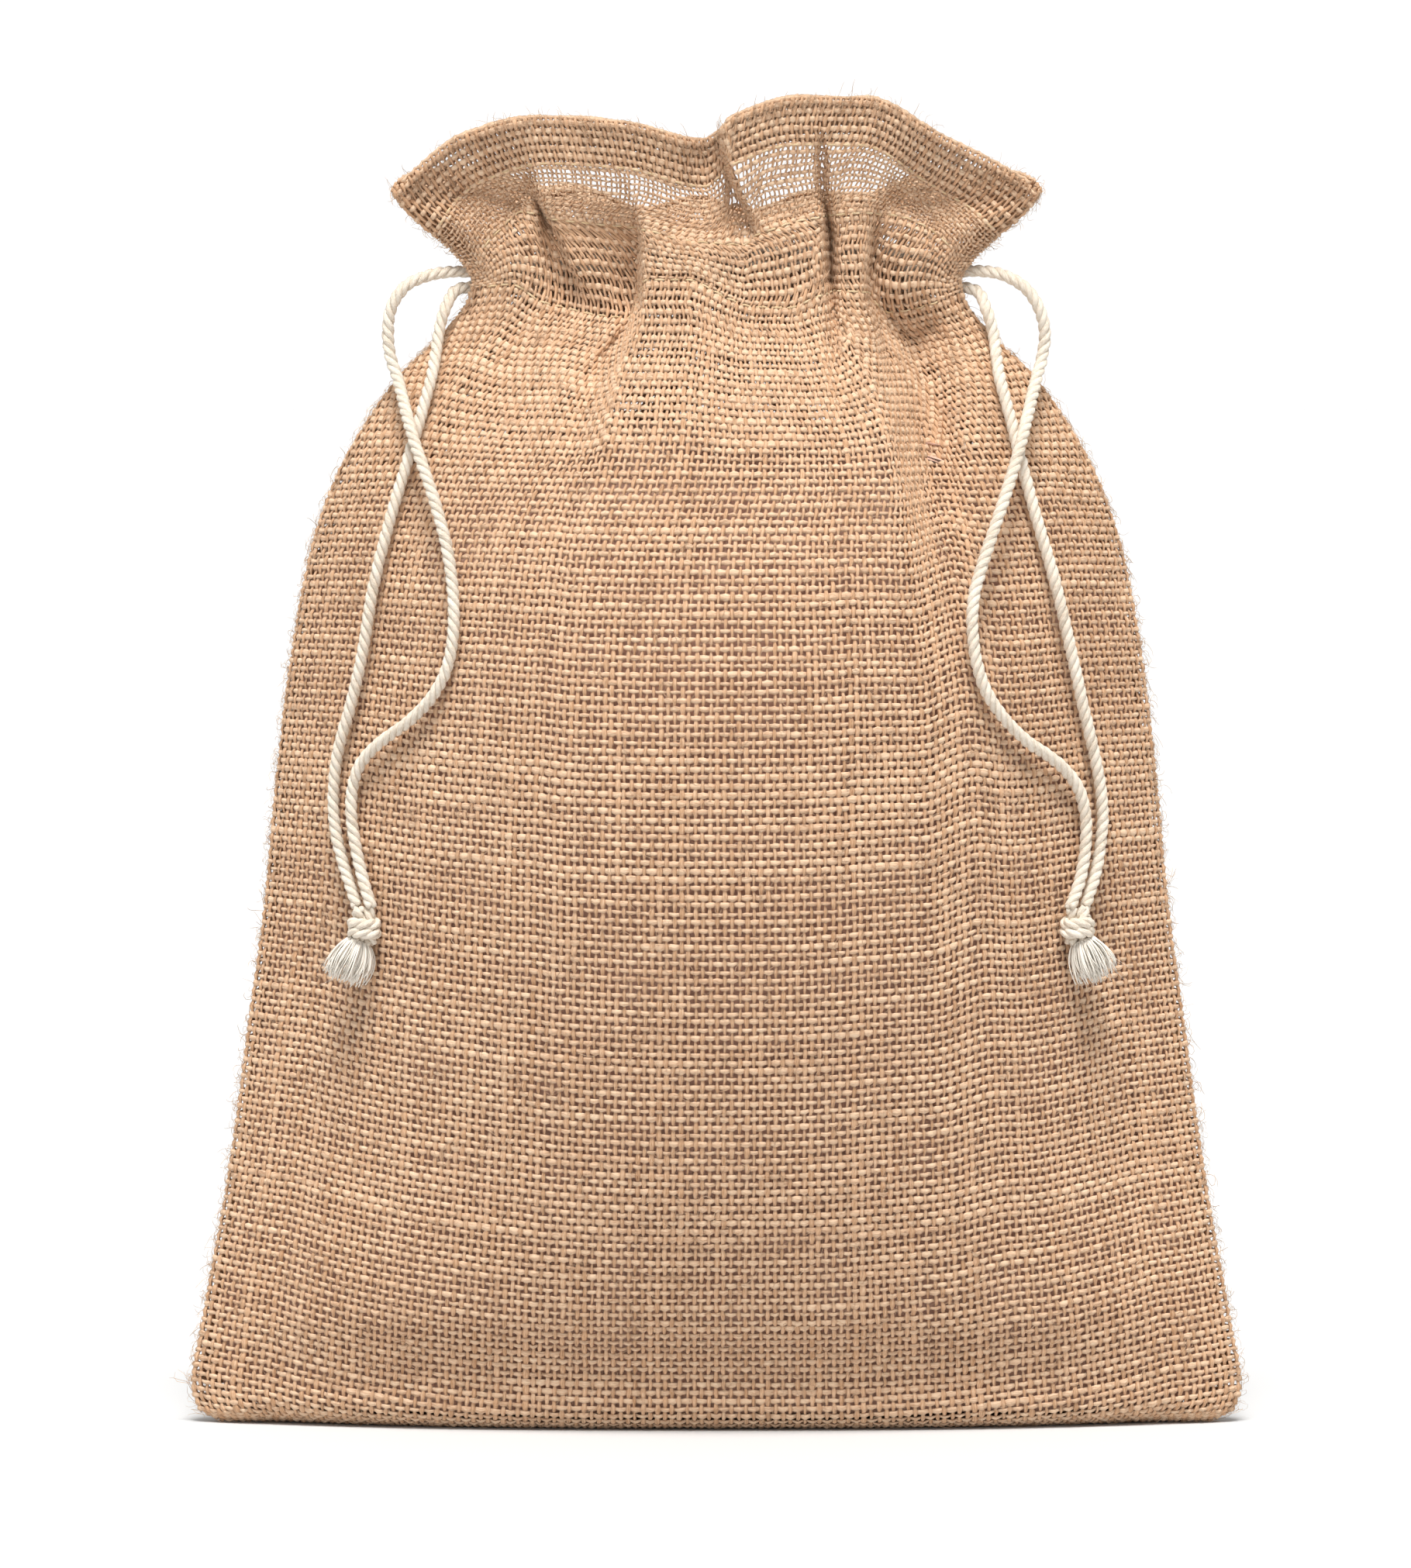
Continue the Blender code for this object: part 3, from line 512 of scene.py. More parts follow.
class Shader:
    """Builds one material's nodes."""

    def __init__(self, name, roughness, sheen=0.0, sheen_tint=(1, 1, 1)):
        self.material = bpy.data.materials.new(name)
        self.material.use_nodes = True
        self.tree = self.material.node_tree
        self.shader = self.tree.nodes["Principled BSDF"]
        for key, value in (("Roughness", roughness), ("Specular IOR Level", 0.25), ("Sheen Weight", sheen),
                           ("Sheen Roughness", 0.5), ("Sheen Tint", (*sheen_tint, 1))):
            self.shader.inputs[key].default_value = value

    def node(self, kind, **values):
        made = self.tree.nodes.new(kind)
        for key, value in values.items():
            if key in made.inputs:
                made.inputs[key].default_value = value
            else:
                setattr(made, key, value)
        return made

    def link(self, output, target):
        self.tree.links.new(output, target)

    def attribute(self, name, part="Vector"):
        return self.node("ShaderNodeAttribute", attribute_name=name).outputs[part]

    def mapped(self, vector, scale, location=(0, 0, 0)):
        made = self.node("ShaderNodeMapping", Scale=scale, Location=location)
        self.link(vector, made.inputs["Vector"])
        return made.outputs["Vector"]

    def noise(self, vector, scale=1.0, detail=2.0, roughness=0.5):
        made = self.node("ShaderNodeTexNoise", Scale=scale, Detail=detail, Roughness=roughness)
        self.link(vector, made.inputs["Vector"])
        return made.outputs["Fac"]

    def math(self, kind, *values, clamp=False):
        made = self.node("ShaderNodeMath", operation=kind, use_clamp=clamp)
        for k, value in enumerate(values):
            if isinstance(value, (int, float)):
                made.inputs[k].default_value = value
            else:
                self.link(value, made.inputs[k])
        return made.outputs[0]

    def ramp(self, value, stops):
        made = self.node("ShaderNodeValToRGB")
        elements = made.color_ramp.elements
        while len(elements) < len(stops):
            elements.new(0.5)
        for element, (place, colour) in zip(elements, stops):
            element.position = place
            element.color = (*colour, 1)
        self.link(value, made.inputs["Fac"])
        return made.outputs["Color"]

    def bump(self, value, distance, strength=1.0):
        made = self.node("ShaderNodeBump", Distance=distance, Strength=strength)
        self.link(value, made.inputs["Height"])
        self.link(made.outputs["Normal"], self.shader.inputs["Normal"])

    def colour(self, output):
        self.link(output, self.shader.inputs["Base Color"])


def yarn_material(name, stops, roughness=0.88, sheen=0.15, streak=(0.3, 3.2, 1.0), bump=0.00016,
                  tone_share=0.07, seed=0.0):
    """A twisted yarn: fibre streaks along it, slow changes of tone, and fine relief."""
    made = Shader(name, roughness, sheen, (1.0, 0.86, 0.7))
    yarn = made.attribute("yarn")
    streaks = made.noise(made.mapped(yarn, streak, (seed, seed, seed)), 1.6, 3.0, 0.6)
    slow = made.noise(made.mapped(yarn, (0.06, 0.0, 1.0)), 1.0, 1.0)
    tone = made.attribute("tone", "Fac")
    value = made.math("ADD", made.math("MULTIPLY_ADD", slow, 0.35, -0.175), streaks)
    shade = made.math("MULTIPLY", tone, tone_share)
    value = made.math("ADD", value, shade, clamp=True)
    made.colour(made.ramp(value, stops))
    made.bump(streaks, bump)
    return made.material


WARP_STOPS = [(0.2, (0.33, 0.155, 0.075)), (0.38, (0.54, 0.315, 0.175)), (0.55, (0.68, 0.43, 0.265)),
              (0.72, (0.78, 0.55, 0.37)), (0.9, (0.86, 0.69, 0.52))]
WEFT_STOPS = [(0.2, (0.38, 0.21, 0.12)), (0.38, (0.60, 0.39, 0.25)), (0.55, (0.73, 0.52, 0.355)),
              (0.72, (0.79, 0.595, 0.42)), (0.9, (0.85, 0.69, 0.53))]


def shifted(stops, factor):
    return [(place, tuple(min(1.0, c * f) for c, f in zip(colour, factor))) for place, colour in stops]


warp_jute = yarn_material("warp_jute", WARP_STOPS, seed=3.1)
weft_jute = yarn_material("weft_jute", WEFT_STOPS, seed=11.7)
# The seam allowances get the warp's colours darkened and made more orange: painted shade for cloth folded in
# between the panels.
folded_jute_painted_shade = yarn_material("folded_jute_painted_shade", shifted(WARP_STOPS, (0.9, 0.84, 0.78)), seed=23.9)
fibre_jute = yarn_material("fibre_jute", shifted(WEFT_STOPS, (1.06, 1.04, 1.0)), roughness=0.7, seed=5.3)
sewing_thread = yarn_material("sewing_thread", [(0.2, (0.5, 0.33, 0.16)), (0.5, (0.76, 0.58, 0.36)),
                                                (0.85, (0.88, 0.74, 0.53))], seed=31.0)
cotton = yarn_material("cotton", [(0.2, (0.56, 0.465, 0.36)), (0.45, (0.76, 0.675, 0.565)),
                                  (0.8, (0.88, 0.815, 0.72))], roughness=0.92, sheen=0.25,
                       streak=(0.9, 3.0, 1.0), bump=0.00025, tone_share=0.1, seed=41.0)

# The frayed ends are a paler cream than the cord, and their colours are lifted further as painted light
# against the shade between the thin hairs.
frayed_cotton_painted_light = yarn_material("frayed_cotton_painted_light", [(0.2, (0.88, 0.81, 0.71)), (0.5, (0.94, 0.885, 0.80)),
                                                (0.8, (0.97, 0.935, 0.875))], roughness=0.9, sheen=0.3,
                              bump=0.0001, tone_share=0.05, seed=47.0)


def filling_material():
    made = Shader("packed_filling", 0.95)
    place = made.node("ShaderNodeTexCoord").outputs["Object"]
    blotches = made.noise(place, 60.0, 4.0, 0.6)
    made.colour(made.ramp(blotches, [(0.25, (0.56, 0.33, 0.24)), (0.5, (0.68, 0.43, 0.33)),
                                     (0.75, (0.78, 0.53, 0.42))]))
    made.bump(made.noise(place, 240.0, 3.0), 0.001)
    return made.material


# ---------------------------------------------------------------- camera

FRAME_HEIGHT = 0.3722  # metres of the pouch's mid plane from the bottom of the picture to its top
CAMERA_DISTANCE = 3.0
CAMERA_RISE = math.radians(4.0)
TARGET = (-0.0026, 0.0, 0.1522)

data = bpy.data.cameras.new("camera")
data.sensor_fit = "VERTICAL"
data.sensor_height = 36.0
data.lens = data.sensor_height * CAMERA_DISTANCE / FRAME_HEIGHT
data.clip_end = 50
made = placed("camera", data)
made.location = (TARGET[0], TARGET[1] - CAMERA_DISTANCE * math.cos(CAMERA_RISE),
                 TARGET[2] + CAMERA_DISTANCE * math.sin(CAMERA_RISE))
made.rotation_euler = (math.pi / 2 - CAMERA_RISE, 0, 0)
scene.camera = made

# ---------------------------------------------------------------- cords


def front_depth(x, height):
    """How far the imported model's front lies from the mid plane."""
    s = np.clip(np.abs(x) / smooth_value(height, OUTLINE), 0, 1)
    return float(EDGE_DEPTH + SLIT_DEPTH * near_slit(height) + bulge(s, height))


def depth_in_front(x, height, clearance):
    """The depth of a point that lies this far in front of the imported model, square to it."""
    across = (front_depth(x + 1, height) - front_depth(x - 1, height)) / 2
    up = (front_depth(x, height + 1) - front_depth(x, height - 1)) / 2
    return front_depth(x, height) + clearance * math.sqrt(1 + across ** 2 + up ** 2)


def along_route(points, step):
    """Evenly spaced points on a smooth curve through the given ones."""
    knots = np.array(points, float)
    padded = np.vstack([2 * knots[0] - knots[1], knots, 2 * knots[-1] - knots[-2]])
    fine = []
    for k in range(len(knots) - 1):
        a, b, c, d = padded[k:k + 4]
        f = np.linspace(0, 1, 24, endpoint=False)[:, None]
        fine.append(0.5 * (2 * b + (c - a) * f + (2 * a - 5 * b + 4 * c - d) * f ** 2
                           + (3 * b - a - 3 * c + d) * f ** 3))
    fine = np.vstack([*fine, knots[-1:]])
    run = np.concatenate([[0], np.cumsum(np.linalg.norm(np.diff(fine, axis=0), axis=1))])
    wanted = np.linspace(0, run[-1], max(2, round(run[-1] / step)) + 1)
    return np.stack([np.interp(wanted, run, fine[:, k]) for k in range(3)], 1)


STRANDS = 3
LAY_LENGTH = 7.3
STRAND_RADIUS = 0.77
STRAND_OUT = 0.76
ROPE_STEP = 0.55


def rope(route, hand, step=ROPE_STEP, size=1.0):
    """Three strands twisted round each other along a route, the way that hand says."""
    path = along_route(route, step)
    along = unit(np.gradient(path, axis=0))
    side = np.zeros_like(path)
    first = np.cross(along[0], (0.0, 0.0, 1.0))
    side[0] = unit(first if np.linalg.norm(first) > 0.1 else np.cross(along[0], (1.0, 0, 0)))
    for k in range(1, len(path)):
        side[k] = unit(side[k - 1] - along[k] * np.dot(side[k - 1], along[k]))
    up = np.cross(side, along)
    run = np.concatenate([[0], np.cumsum(np.linalg.norm(np.diff(path, axis=0), axis=1))])
    strand = (np.arange(STRANDS) / STRANDS * 2 * math.pi)[:, None]
    turn = (hand * run / LAY_LENGTH * 2 * math.pi)[None, :] + strand
    out = np.cos(turn)[..., None] * side + np.sin(turn)[..., None] * up
    lumps = 1 + 0.04 * wander(STRANDS, len(path), step, 5.0)
    centres = path + out * STRAND_OUT * size
    tone = 0.6 * wander(STRANDS, len(path), step, 8.0)
    wide = STRAND_RADIUS * size * lumps
    return tubes(centres, out, wide, wide * 0.96, 9, tone)


for hand, name in ((-1, "left"), (1, "right")):
    for end in ("loop", "front"):
        route = []
        for out, height, clearance in ROUTES[hand, end]:
            depth = depth_in_front(out, height, clearance) * min(1.0, clearance / 1.6)
            route.append((hand * out, -depth, height))
        route.insert(0, (hand * ROPE_START[end], 0, route[0][2]))
        path = along_route(route, 6.0)
        made = piece(f"{name}_{end}_rope", [rope(path, -hand)], [cotton],
                     name + "_hanging_cords", "cotton_cord", f"{name}_{end}_cord")
        level = TAIL_LEVEL if end == "loop" else -TAIL_LEVEL
        places = np.linspace(TAIL_START, TAIL_START - PULL_TAIL, 6)
        tail = [(hand * x, 0, NECK_HEIGHT + level) for x in places]
        piece(f"{name}_{end}_rope_tail", [rope(tail, -hand)], [cotton], name + "_pull",
              "cotton_cord", f"{name}_{end}_cord_tail")


def hairs(starts, ends, bend, radius, rings=7, sides=4, tone=None):
    """Thin tapering fibres from starts to ends, bowed by bend."""
    f = np.linspace(0, 1, rings)[None, :, None]
    bow = 4 * f * (1 - f)
    centres = starts[:, None] + (ends - starts)[:, None] * f + bend[:, None] * bow
    normals = np.broadcast_to(unit(np.cross(ends - starts, bend + 1e-3))[:, None], centres.shape)
    taper = radius * np.linspace(1, 0.55, rings)
    return tubes(centres, normals, taper[None, :], taper[None, :], sides, tone)


def knot_and_tassel(hand, name):
    out = KNOT_CENTRE[hand]
    centre = np.array([hand * out, -depth_in_front(out, KNOT_HEIGHT, KNOT_RADII[1] + 0.5), KNOT_HEIGHT])
    body = name + "_hanging_cords"
    # The cords go in at the top, one wraps twice round both, and they come out below.
    f = np.linspace(0, 1, 40)
    angle = f * 2 * math.pi * 2.15 + 0.6
    wrap = np.stack([2.75 * np.cos(angle) * hand, 2.0 * np.sin(angle),
                     2.3 - 4.4 * f + 0.55 * np.cos(angle)], 1) + centre
    parts = [rope(wrap, -hand, 0.45, 0.98)]
    for side in (-1, 1):
        core = centre + [(side * 1.4, side * 0.3, 4.6), (side * 1.1, -side * 0.5, 2.0),
                         (side * 0.9, 0.3, 0.0), (side * 1.2, 0.2, -2.2), (side * 1.7, 0, -3.9)]
        parts.append(rope(core, -hand, 0.5))
    piece(name + "_overhand_knot", parts, [cotton], body, "cotton_cord", name + "_knot")
    count = 170
    turn = rng.uniform(0, 2 * math.pi, count)
    share = np.sqrt(rng.uniform(0, 1, count))
    fan = np.stack([share * np.cos(turn), 0.62 * share * np.sin(turn), np.zeros(count)], 1)
    starts = fan * (2.6, 2.2, 0) + (0, 0, -3.2)
    reach = rng.uniform(9.8, 13.2, count) - 1.8 * share ** 2
    spread = 5.2 + rng.normal(0, 0.5, count)
    ends = np.stack([fan[:, 0] * spread, fan[:, 1] * spread, -reach - 1.5], 1)
    bend = rng.normal(0, 0.45, (count, 3)) + fan * 0.9
    turned = hand * TASSEL_LEAN
    spun = np.array([[math.cos(turned), 0, math.sin(turned)], [0, 1, 0],
                     [-math.sin(turned), 0, math.cos(turned)]])
    starts, ends, bend = ((v @ spun) + c for v, c in ((starts, centre), (ends, centre), (bend, 0 * centre)))
    tuft = hairs(starts, ends, bend, 0.24, tone=rng.normal(0, 0.7, (count, 1)))
    loose = rng.choice(count, 50, replace=False)
    wild = ends[loose] + rng.normal(0, 1.2, (50, 3)) + (hand * 0.8, 0, -0.6)
    wisps = hairs(starts[loose], wild, rng.normal(0, 0.9, (50, 3)), 0.07, rings=8, sides=3)
    # The tuft and wisps wear the cotton lightened with painted light.
    piece(name + "_frayed_ends", [tuft, wisps], [frayed_cotton_painted_light], body, "cotton_cord", name + "_tassel")


for hand, name in ((-1, "left"), (1, "right")):
    knot_and_tassel(hand, name)

# ---------------------------------------------------------------- cloth

cloths = {-1: Cloth(-1), 1: Cloth(1)}


WINDOW_MIDDLE = sum(WINDOW_ROWS) / 2
WINDOW_HALF = (WINDOW_ROWS[1] - WINDOW_ROWS[0]) / 2


def weave(cloth, rows, columns, depth=0.0, sides=5, ripple=1.0, shift=0, open_window=0):
    """Warp and weft yarns over a range of the cloth's half-pitch places, some depth behind its middle.
    rows and columns are the first and last places; depth may change from row to row."""
    area = np.s_[rows[0]:rows[1] + 1, columns[0]:columns[1] + 1]
    picked, normals = cloth.points[area], cloth.normals[area]
    depth = np.broadcast_to(np.asarray(depth, float), (picked.shape[0],))
    picked = picked - normals * depth[:, None, None]
    across, up = unit(np.gradient(picked, axis=1)), unit(np.gradient(picked, axis=0))
    tall, wide = picked.shape[:2]
    row_places, column_places = np.arange(1, tall, 2), np.arange(1, wide, 2)
    row = np.arange(rows[0], rows[1] + 1)
    window = ease((WINDOW_HALF - np.abs(row - WINDOW_MIDDLE)) / 4) * open_window
    gather = ease((row - GATHER_ROWS[0] + 14) / 14) * ease((GATHER_ROWS[1] + 8 - row) / 8) * open_window
    thin = 1 - WINDOW_THINNING * window + GATHER_GAIN * gather
    parts = []
    for kind in (0, 1):
        if kind == 0:
            places, length, spacing = column_places, tall, WEFT_PITCH / 2
            centres, out = picked[:, places].transpose(1, 0, 2), normals[:, places].transpose(1, 0, 2)
            sideways = across[:, places].transpose(1, 0, 2)
            room = cloth.pitch_across[area][:, places].T
            half, pitch = WARP_HALF_WIDTH, WARP_PITCH
        else:
            places, length, spacing = row_places, wide, WARP_PITCH / 2
            centres, out = picked[places], normals[places]
            sideways = up[places]
            room = cloth.pitch_up[area][places]
            half, pitch = WEFT_HALF_WIDTH, WEFT_PITCH
        count = len(places)
        crossing = np.zeros((count, length))
        k = np.arange(length)
        over = (np.arange(count)[:, None] + (k[k % 2 == 1] // 2)[None] + shift) % 2 == kind
        crossing[:, k % 2 == 1] = np.where(over, 1.0, -1.0)
        base = 1 + 0.13 * rng.normal(size=(count, 1))
        slub = 1 + 0.13 * wander(count, length, spacing, 14) + 0.09 * wander(count, length, spacing, 3.5)
        width = half * np.clip(base * slub, 0.6, 1.6) * np.clip(room / pitch, 0.6, 1)
        width = width * np.where(crossing > 0, OVER_WIDTH, UNDER_WIDTH)
        width = width * (thin[None, :] if kind == 0 else thin[places][:, None])
        width = np.minimum(width, MOST_WIDTH * room)
        height = YARN_HALF_HEIGHT * np.clip(slub, 0.8, 1.25)
        jitter = 0.10 * wander(count, length, spacing, 30) + 0.05 * wander(count, length, spacing, 5)
        jitter = jitter + 0.045 * rng.normal(size=(count, length))
        rise = crossing * CRIMP * ripple + 0.04 * rng.normal(size=(count, length))
        centres = centres + sideways * jitter[..., None] + out * rise[..., None]
        tone = 0.25 * rng.normal(size=(count, 1)) + 0.4 * wander(count, length, spacing, 18)
        part = tubes(centres, out, width, height, sides, tone)
        part["slot"] = kind
        parts.append(part)
    return parts


LAST_ROW, LAST_COLUMN = 2 * WEFT_COUNT, 2 * WARP_COUNT
CASING_ROWS = (300, 316)
HEM_ROWS = (339, LAST_ROW)


class Strip:
    """A flat strip of cloth at half-pitch places, given by its own points and normal."""

    def __init__(self, points, normal):
        self.points = points
        self.normals = np.broadcast_to(np.array(normal, float), points.shape)
        self.pitch_across = np.full(points.shape[:2], WARP_PITCH)
        self.pitch_up = np.full(points.shape[:2], WEFT_PITCH)


def running_stitch(points, normals, length=2.9, gap=0.75, radius=0.2, lift=0.62):
    """Short stitches along a line of points, sinking into the cloth between them."""
    run = np.concatenate([[0], np.cumsum(np.linalg.norm(np.diff(points, axis=0), axis=1))])
    starts = np.arange(0.6, run[-1] - length, length + gap)
    f = np.linspace(0, 1, 7)
    places = starts[:, None] + f[None] * length * rng.uniform(0.85, 1.05, (len(starts), 1))
    centres = np.stack([np.interp(places, run, points[:, k]) for k in range(3)], -1)
    out = unit(np.stack([np.interp(places, run, normals[:, k]) for k in range(3)], -1))
    sunk = lift * np.sin(np.clip(f * 1.25 - 0.125, 0, 1) * math.pi) ** 0.5 - 0.1
    return tubes(centres + out * sunk[None, :, None], out, radius * 1.25, radius, 6,
                 0.5 * rng.normal(size=(len(starts), 1)))


def fibres(cloth, count, reach, rows=(0, LAST_ROW), columns=(0, LAST_COLUMN)):
    """Loose fibres that lie on the cloth; some lift off at their free end."""
    radius, rings, lifted = 0.045, 6, 0.16
    row = rng.uniform(*rows, count)
    column = rng.uniform(*columns, count)
    angle = rng.uniform(0, 2 * math.pi, count)
    turn = rng.normal(0, 0.5, count)
    length = rng.uniform(*reach, count)
    rise = rng.uniform(0.35, 0.75, count)
    free = np.where(rng.uniform(size=count) < lifted, rng.uniform(0.6, 2.2, count), 0.0)
    centres = np.zeros((count, rings, 3))
    out = np.zeros((count, rings, 3))
    for k in range(rings):
        f = k / (rings - 1)
        out[:, k] = unit(cloth.at(cloth.normals, np.clip(row, 0, LAST_ROW), np.clip(column, 0, LAST_COLUMN)))
        centres[:, k] = cloth.at(cloth.points, row, column)
        centres[:, k] += out[:, k] * (0.28 + rise * math.sin(math.pi * f) ** 0.7 + free * f * f)[:, None]
        row = row + np.sin(angle) * length / (rings - 1)
        column = column + np.cos(angle) * length / (rings - 1) / 0.85
        angle = angle + turn + rng.normal(0, 0.25, count)
    centres[..., 2] = np.maximum(centres[..., 2], FLOOR_CLEARANCE)
    taper = radius * np.array([0.5, 1, 1, 0.95, 0.8, 0.45])
    size = rng.uniform(0.7, 1.5, (count, 1))
    return tubes(centres, out, taper * size, taper * size, 3, rng.normal(0, 1.2, (count, 1)))


def casing_strip(side):
    """The inner strip of the casing: it starts and ends against the cloth, and between its two seams it
    runs straight across the neck behind the cord."""
    cloth = cloths[side]
    rows, columns = CASING_ROWS, (28, 266)
    points = cloth.points[rows[0]:rows[1] + 1, columns[0]:columns[1] + 1].copy()
    k = np.arange(points.shape[0])
    behind = ease(np.minimum(k, k[::-1]) / 4.0)[:, None]
    near = points[..., 1] - side * 1.25
    points[..., 1] = near * (1 - behind) + side * CASING_BACK * behind
    strip = Strip(points, (0, side, 0))
    strip.pitch_across[:] = np.linalg.norm(np.gradient(points, axis=1), axis=2) * 2
    return weave(strip, (0, rows[1] - rows[0]), (0, columns[1] - columns[0]), sides=4)


for side, name in ((-1, "front"), (1, "back")):
    cloth = cloths[side]
    jute = [warp_jute, weft_jute]
    body = piece(name + "_weave", weave(cloth, (0, LAST_ROW), (0, LAST_COLUMN), open_window=1), jute, "pouch",
                 "jute_cloth", name + "_panel")
    hem_depth = np.full(HEM_ROWS[1] - HEM_ROWS[0] + 1, 1.1)
    hem_depth[-2:] = (0.9, 0.5)
    hem = weave(cloth, HEM_ROWS, (6, LAST_COLUMN - 6), hem_depth, sides=4)
    piece(name + "_turned_hem", hem, jute, "pouch", "jute_folded", name + "_top_hem")
    piece(name + "_casing_strip", casing_strip(side), jute, "pouch", "jute_folded",
                        name + "_casing")
    for row, label, columns in ((CASING_ROWS[0], "casing_lower", (8, LAST_COLUMN - 8)),
                                (CASING_ROWS[1], "casing_upper", (14, LAST_COLUMN - 14)),
                                (HEM_ROWS[0], "hem", (4, LAST_COLUMN - 4))):
        spots = np.linspace(*columns, 1500)
        line, out = cloth.at(cloth.points, row, spots), cloth.at(cloth.normals, row, spots)
        piece(f"{name}_{label}_stitches", [running_stitch(line, out)], [sewing_thread],
                            "pouch", "jute_thread", f"{name}_{label}_stitch")
    loose = [fibres(cloth, 5200, (2.5, 8.0)), fibres(cloth, 700, (2.0, 5.0), rows=(LAST_ROW - 3, LAST_ROW)),
             fibres(cloth, 500, (2.0, 5.0), columns=(0, 2)),
             fibres(cloth, 500, (2.0, 5.0), columns=(LAST_COLUMN - 2, LAST_COLUMN))]
    piece(name + "_loose_fibres", loose, [fibre_jute], "pouch", "jute_cloth")

# Seam allowances: both panels' edges turned in, and the thread that holds them.
SEAM_TOP = NECK_HEIGHT - SLIT_HALF_HEIGHT - 2


def steps_across(width):
    """Places across an allowance from its outer edge."""
    return np.arange(0, width + 0.01, WARP_PITCH / 2)[None, :, None]


def allowance(name, middle, node):
    """Two layers of cloth beside each other: middle is their shared mid surface, as lines of points."""
    parts = []
    for k, face in enumerate((-1, 1)):
        strip = Strip(middle + np.array([0, face * LAYER_OFFSET, 0]), (0, face, 0))
        last = (middle.shape[0] - 1, middle.shape[1] - 1)
        parts += weave(strip, (0, last[0]), (0, last[1]), sides=4, ripple=0.6, shift=k)
    # Both layers wear the jute darkened with painted shade.
    made = piece(name, parts, [folded_jute_painted_shade, folded_jute_painted_shade], "pouch", "jute_folded", node)


def seam_thread(name, line, node):
    stitches = running_stitch(line, np.broadcast_to([0, -1.0, 0], line.shape))
    piece(name, [stitches], [sewing_thread], "pouch", "jute_thread", node)


for hand, name in ((-1, "left"), (1, "right")):
    heights = np.arange(12, SEAM_TOP, WEFT_PITCH / 2)
    edge = hand * (smooth_value(heights, OUTLINE) - 1.6)
    inner = np.stack([edge, 0 * heights, heights], 1)
    middle = inner[:, None] + steps_across(SEAM_ALLOWANCE) * (-hand, 0, 0)
    allowance(name + "_turned_seam", middle, name + "_seam_allowance")
    seam_thread(name + "_seam_stitches", inner - [hand * (SEAM_ALLOWANCE + 0.3), 0, 0], name + "_seam_stitch")
    rows = np.arange(TOP_LINE - 28, TOP_LINE - 3, 1.0)
    width = SEAM_ALLOWANCE - 2
    edge = surface(-1, float(hand), rows)
    middle = (edge * [1, 0, 1] - [hand * 1.2, 0, 0])[:, None] + steps_across(width) * (-hand, 0, 0)
    along = ((rows - NECK_LINE) / (TOP_LINE - NECK_LINE))[:, None]
    middle[..., 1] -= fin_forward(np.abs(middle[..., 0]) / np.abs(edge[:, :1]), along)
    allowance(name + "_turned_header_seam", middle, name + "_header_seam_allowance")
places = np.arange(-107, 107, 1.0)
low = np.stack([places, 0 * places, 0 * places + 1.7], 1)
allowance("bottom_turned_seam", low[:, None] + steps_across(SEAM_ALLOWANCE) * (0, 0, 1),
          "bottom_seam_allowance")
seam_thread("bottom_seam_stitches", low + [0, 0, SEAM_ALLOWANCE + 0.3], "bottom_seam_stitch")

# The cords inside the casing: round the far side of the neck, in front and behind.
for hand, name, front_z, back_z in ((-1, "left", 278.4, 273.6), (1, "right", 275.2, 269.6)):
    start, far = hand * 28.9, -hand * 53.3
    straight = np.linspace(start, -hand * 46, 14)
    there = [(x, -CASING_CORD, front_z) for x in straight]
    back = [(x, CASING_CORD, back_z) for x in straight[::-1]]
    turn = [(far * 0.955, -2.6, front_z * 0.7 + back_z * 0.3), (far, 0, (front_z + back_z) / 2),
            (far * 0.955, 2.6, front_z * 0.3 + back_z * 0.7)]
    piece(name + "_rope_in_casing", [rope(there + turn + back, -hand, 0.8)], [cotton], "pouch",
          "cotton_cord", name + "_cord_in_casing")


def filling():
    """Soft packed contents: closed, uneven, and a little inside the cloth."""
    heights = np.concatenate([[3.6, 4.4, 6.5, 9.5], np.linspace(14, 228, 68), [232, 235.5, 238]])
    shrink = np.interp(heights, [3.6, 4.4, 6.5, 22, 200, 222, 230, 235.5, 238],
                       [0.7, 0.84, 0.9, 0.94, 0.94, 0.86, 0.76, 0.5, 0.2])
    turn = np.linspace(0, 2 * math.pi, 121)[:-1]
    rings = []
    for height, share in zip(heights, shrink):
        s = np.cos(turn) * 1.035 * share
        depth = EDGE_DEPTH + bulge(np.clip(s, -1, 1), max(height, 0.0))
        x = s * smooth_value(height, OUTLINE)
        dent = 0 * s
        for dent_x, dent_z, wide, tall, deep in DENTS[-1]:
            dent = dent + max(deep, 0) * np.exp(-((x - dent_x) / wide) ** 2 - ((height - dent_z) / tall) ** 2)
        depth = np.maximum(depth - FILLING_INSET - dent, 0.45) * np.interp(share, [0.2, 0.93], [0.35, 1.0])
        side = np.sign(np.sin(turn)) * np.minimum(1.0, np.abs(np.sin(turn)) / 0.12)
        lump = (1.3 * np.sin(s * 9 + height * 0.11) * np.sin(height * 0.07 + 2.1 * np.cos(turn * 3))
                + 0.5 * np.sin(s * 31 + height * 0.3))
        depth = depth - np.abs(lump) * np.minimum(0.8, depth / 8)
        rings.append(np.stack([x, depth * side, 0 * s + height], 1))
    rings = np.array(rings)
    index = np.arange(rings.shape[0] * rings.shape[1]).reshape(rings.shape[:2])
    after = np.roll(index, -1, axis=1)
    quads = np.stack([index[:-1], after[:-1], after[1:], index[1:]], -1).reshape(-1, 4)
    caps = np.stack([index[0, ::-1], index[-1]])
    return {"points": rings.reshape(-1, 3), "quads": quads, "caps": caps,
            "yarn": rings.reshape(-1, 3), "tone": np.zeros(rings.shape[0] * rings.shape[1])}


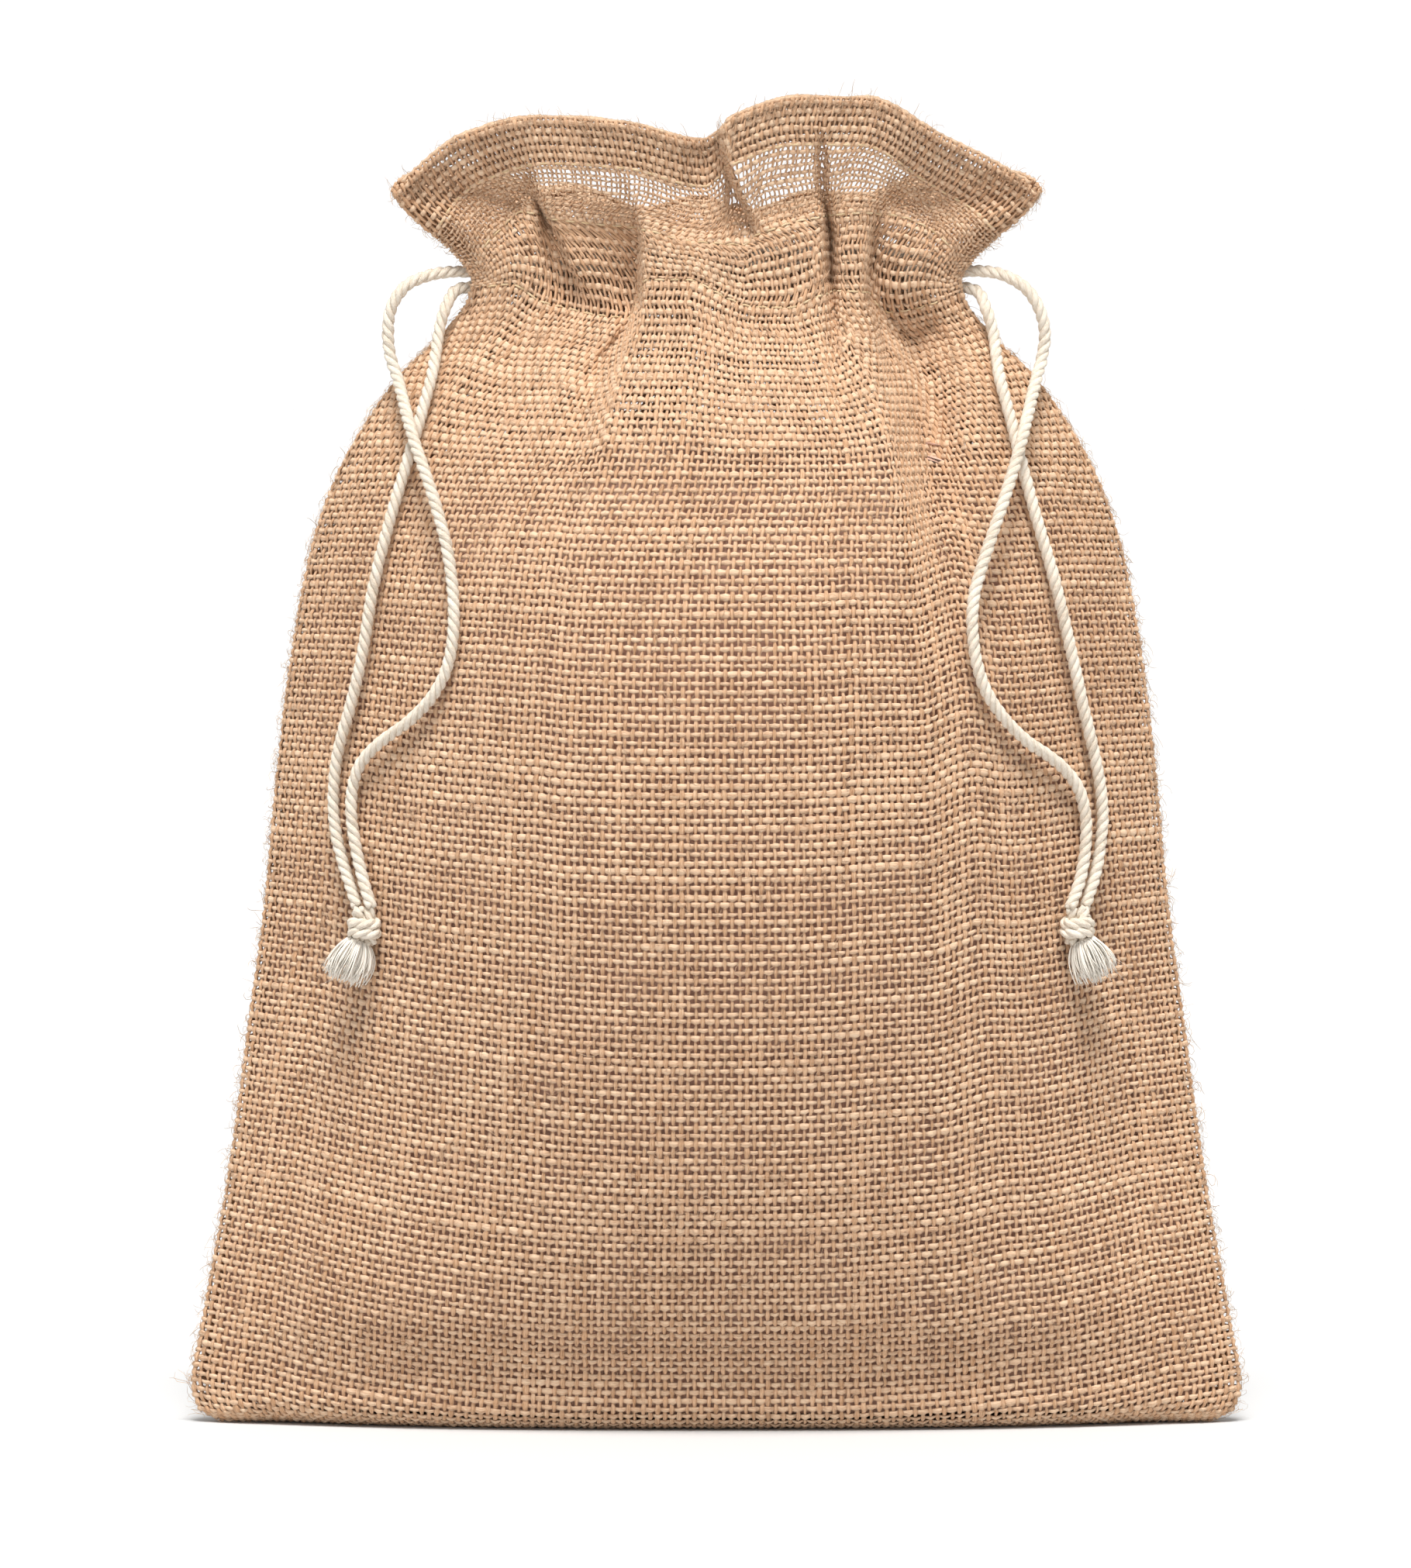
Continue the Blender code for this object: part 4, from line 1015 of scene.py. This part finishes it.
packed = piece("packed_filling", [filling()], [filling_material()], "pouch", "filling", "filling")

# ---------------------------------------------------------------- floor and light

floor_mesh = bpy.data.meshes.new("floor")
floor_mesh.from_pydata([(-6, -6, 0), (6, -6, 0), (6, 6, 0), (-6, 6, 0)], [], [(0, 1, 2, 3)])
floor = placed("floor", floor_mesh)
white = Shader("pale_floor", 0.9)
white.shader.inputs["Base Color"].default_value = (0.64, 0.65, 0.663, 1)
floor_mesh.materials.append(white.material)


def light(name, kind, energy, colour, rotation, **settings):
    data = bpy.data.lights.new(name, kind)
    data.energy, data.color = energy, colour
    for key, value in settings.items():
        setattr(data, key, value)
    made = placed(name, data)
    made.rotation_euler = rotation
    return made


KEY_ROTATION = (math.radians(23), 0, math.radians(1))
FILL_PLACE, FILL_TARGET = (-1.1, -1.9, 0.8), (0, 0, 0.15)
light("key", "SUN", 4.0, (1.0, 0.985, 0.96), KEY_ROTATION, angle=math.radians(24))
toward = np.array(FILL_TARGET) - np.array(FILL_PLACE)
fill_rotation = (math.atan2(math.hypot(toward[0], toward[1]), -toward[2]), 0,
                 math.atan2(toward[1], toward[0]) - math.pi / 2)
light("fill", "AREA", 4, (0.97, 0.985, 1.0), fill_rotation, shape="DISK", size=1.2).location = FILL_PLACE

world = bpy.data.worlds.new("studio")
world.use_nodes = True
nodes, links = world.node_tree.nodes, world.node_tree.links
direction = nodes.new("ShaderNodeTexCoord")
parts = nodes.new("ShaderNodeSeparateXYZ")
ramp = nodes.new("ShaderNodeValToRGB")
ramp.color_ramp.elements[0].position, ramp.color_ramp.elements[1].position = 0.0, 0.1
ramp.color_ramp.elements[0].color = (1.04, 1.04, 1.04, 1)
ramp.color_ramp.elements[1].color = (0.49, 0.487, 0.478, 1)
links.new(direction.outputs["Generated"], parts.inputs[0])
links.new(parts.outputs["Z"], ramp.inputs["Fac"])
links.new(ramp.outputs["Color"], nodes["Background"].inputs["Color"])
nodes["Background"].inputs["Strength"].default_value = 1.0
scene.world = world
scene.view_settings.view_transform = "Standard"
scene.view_settings.look = "None"
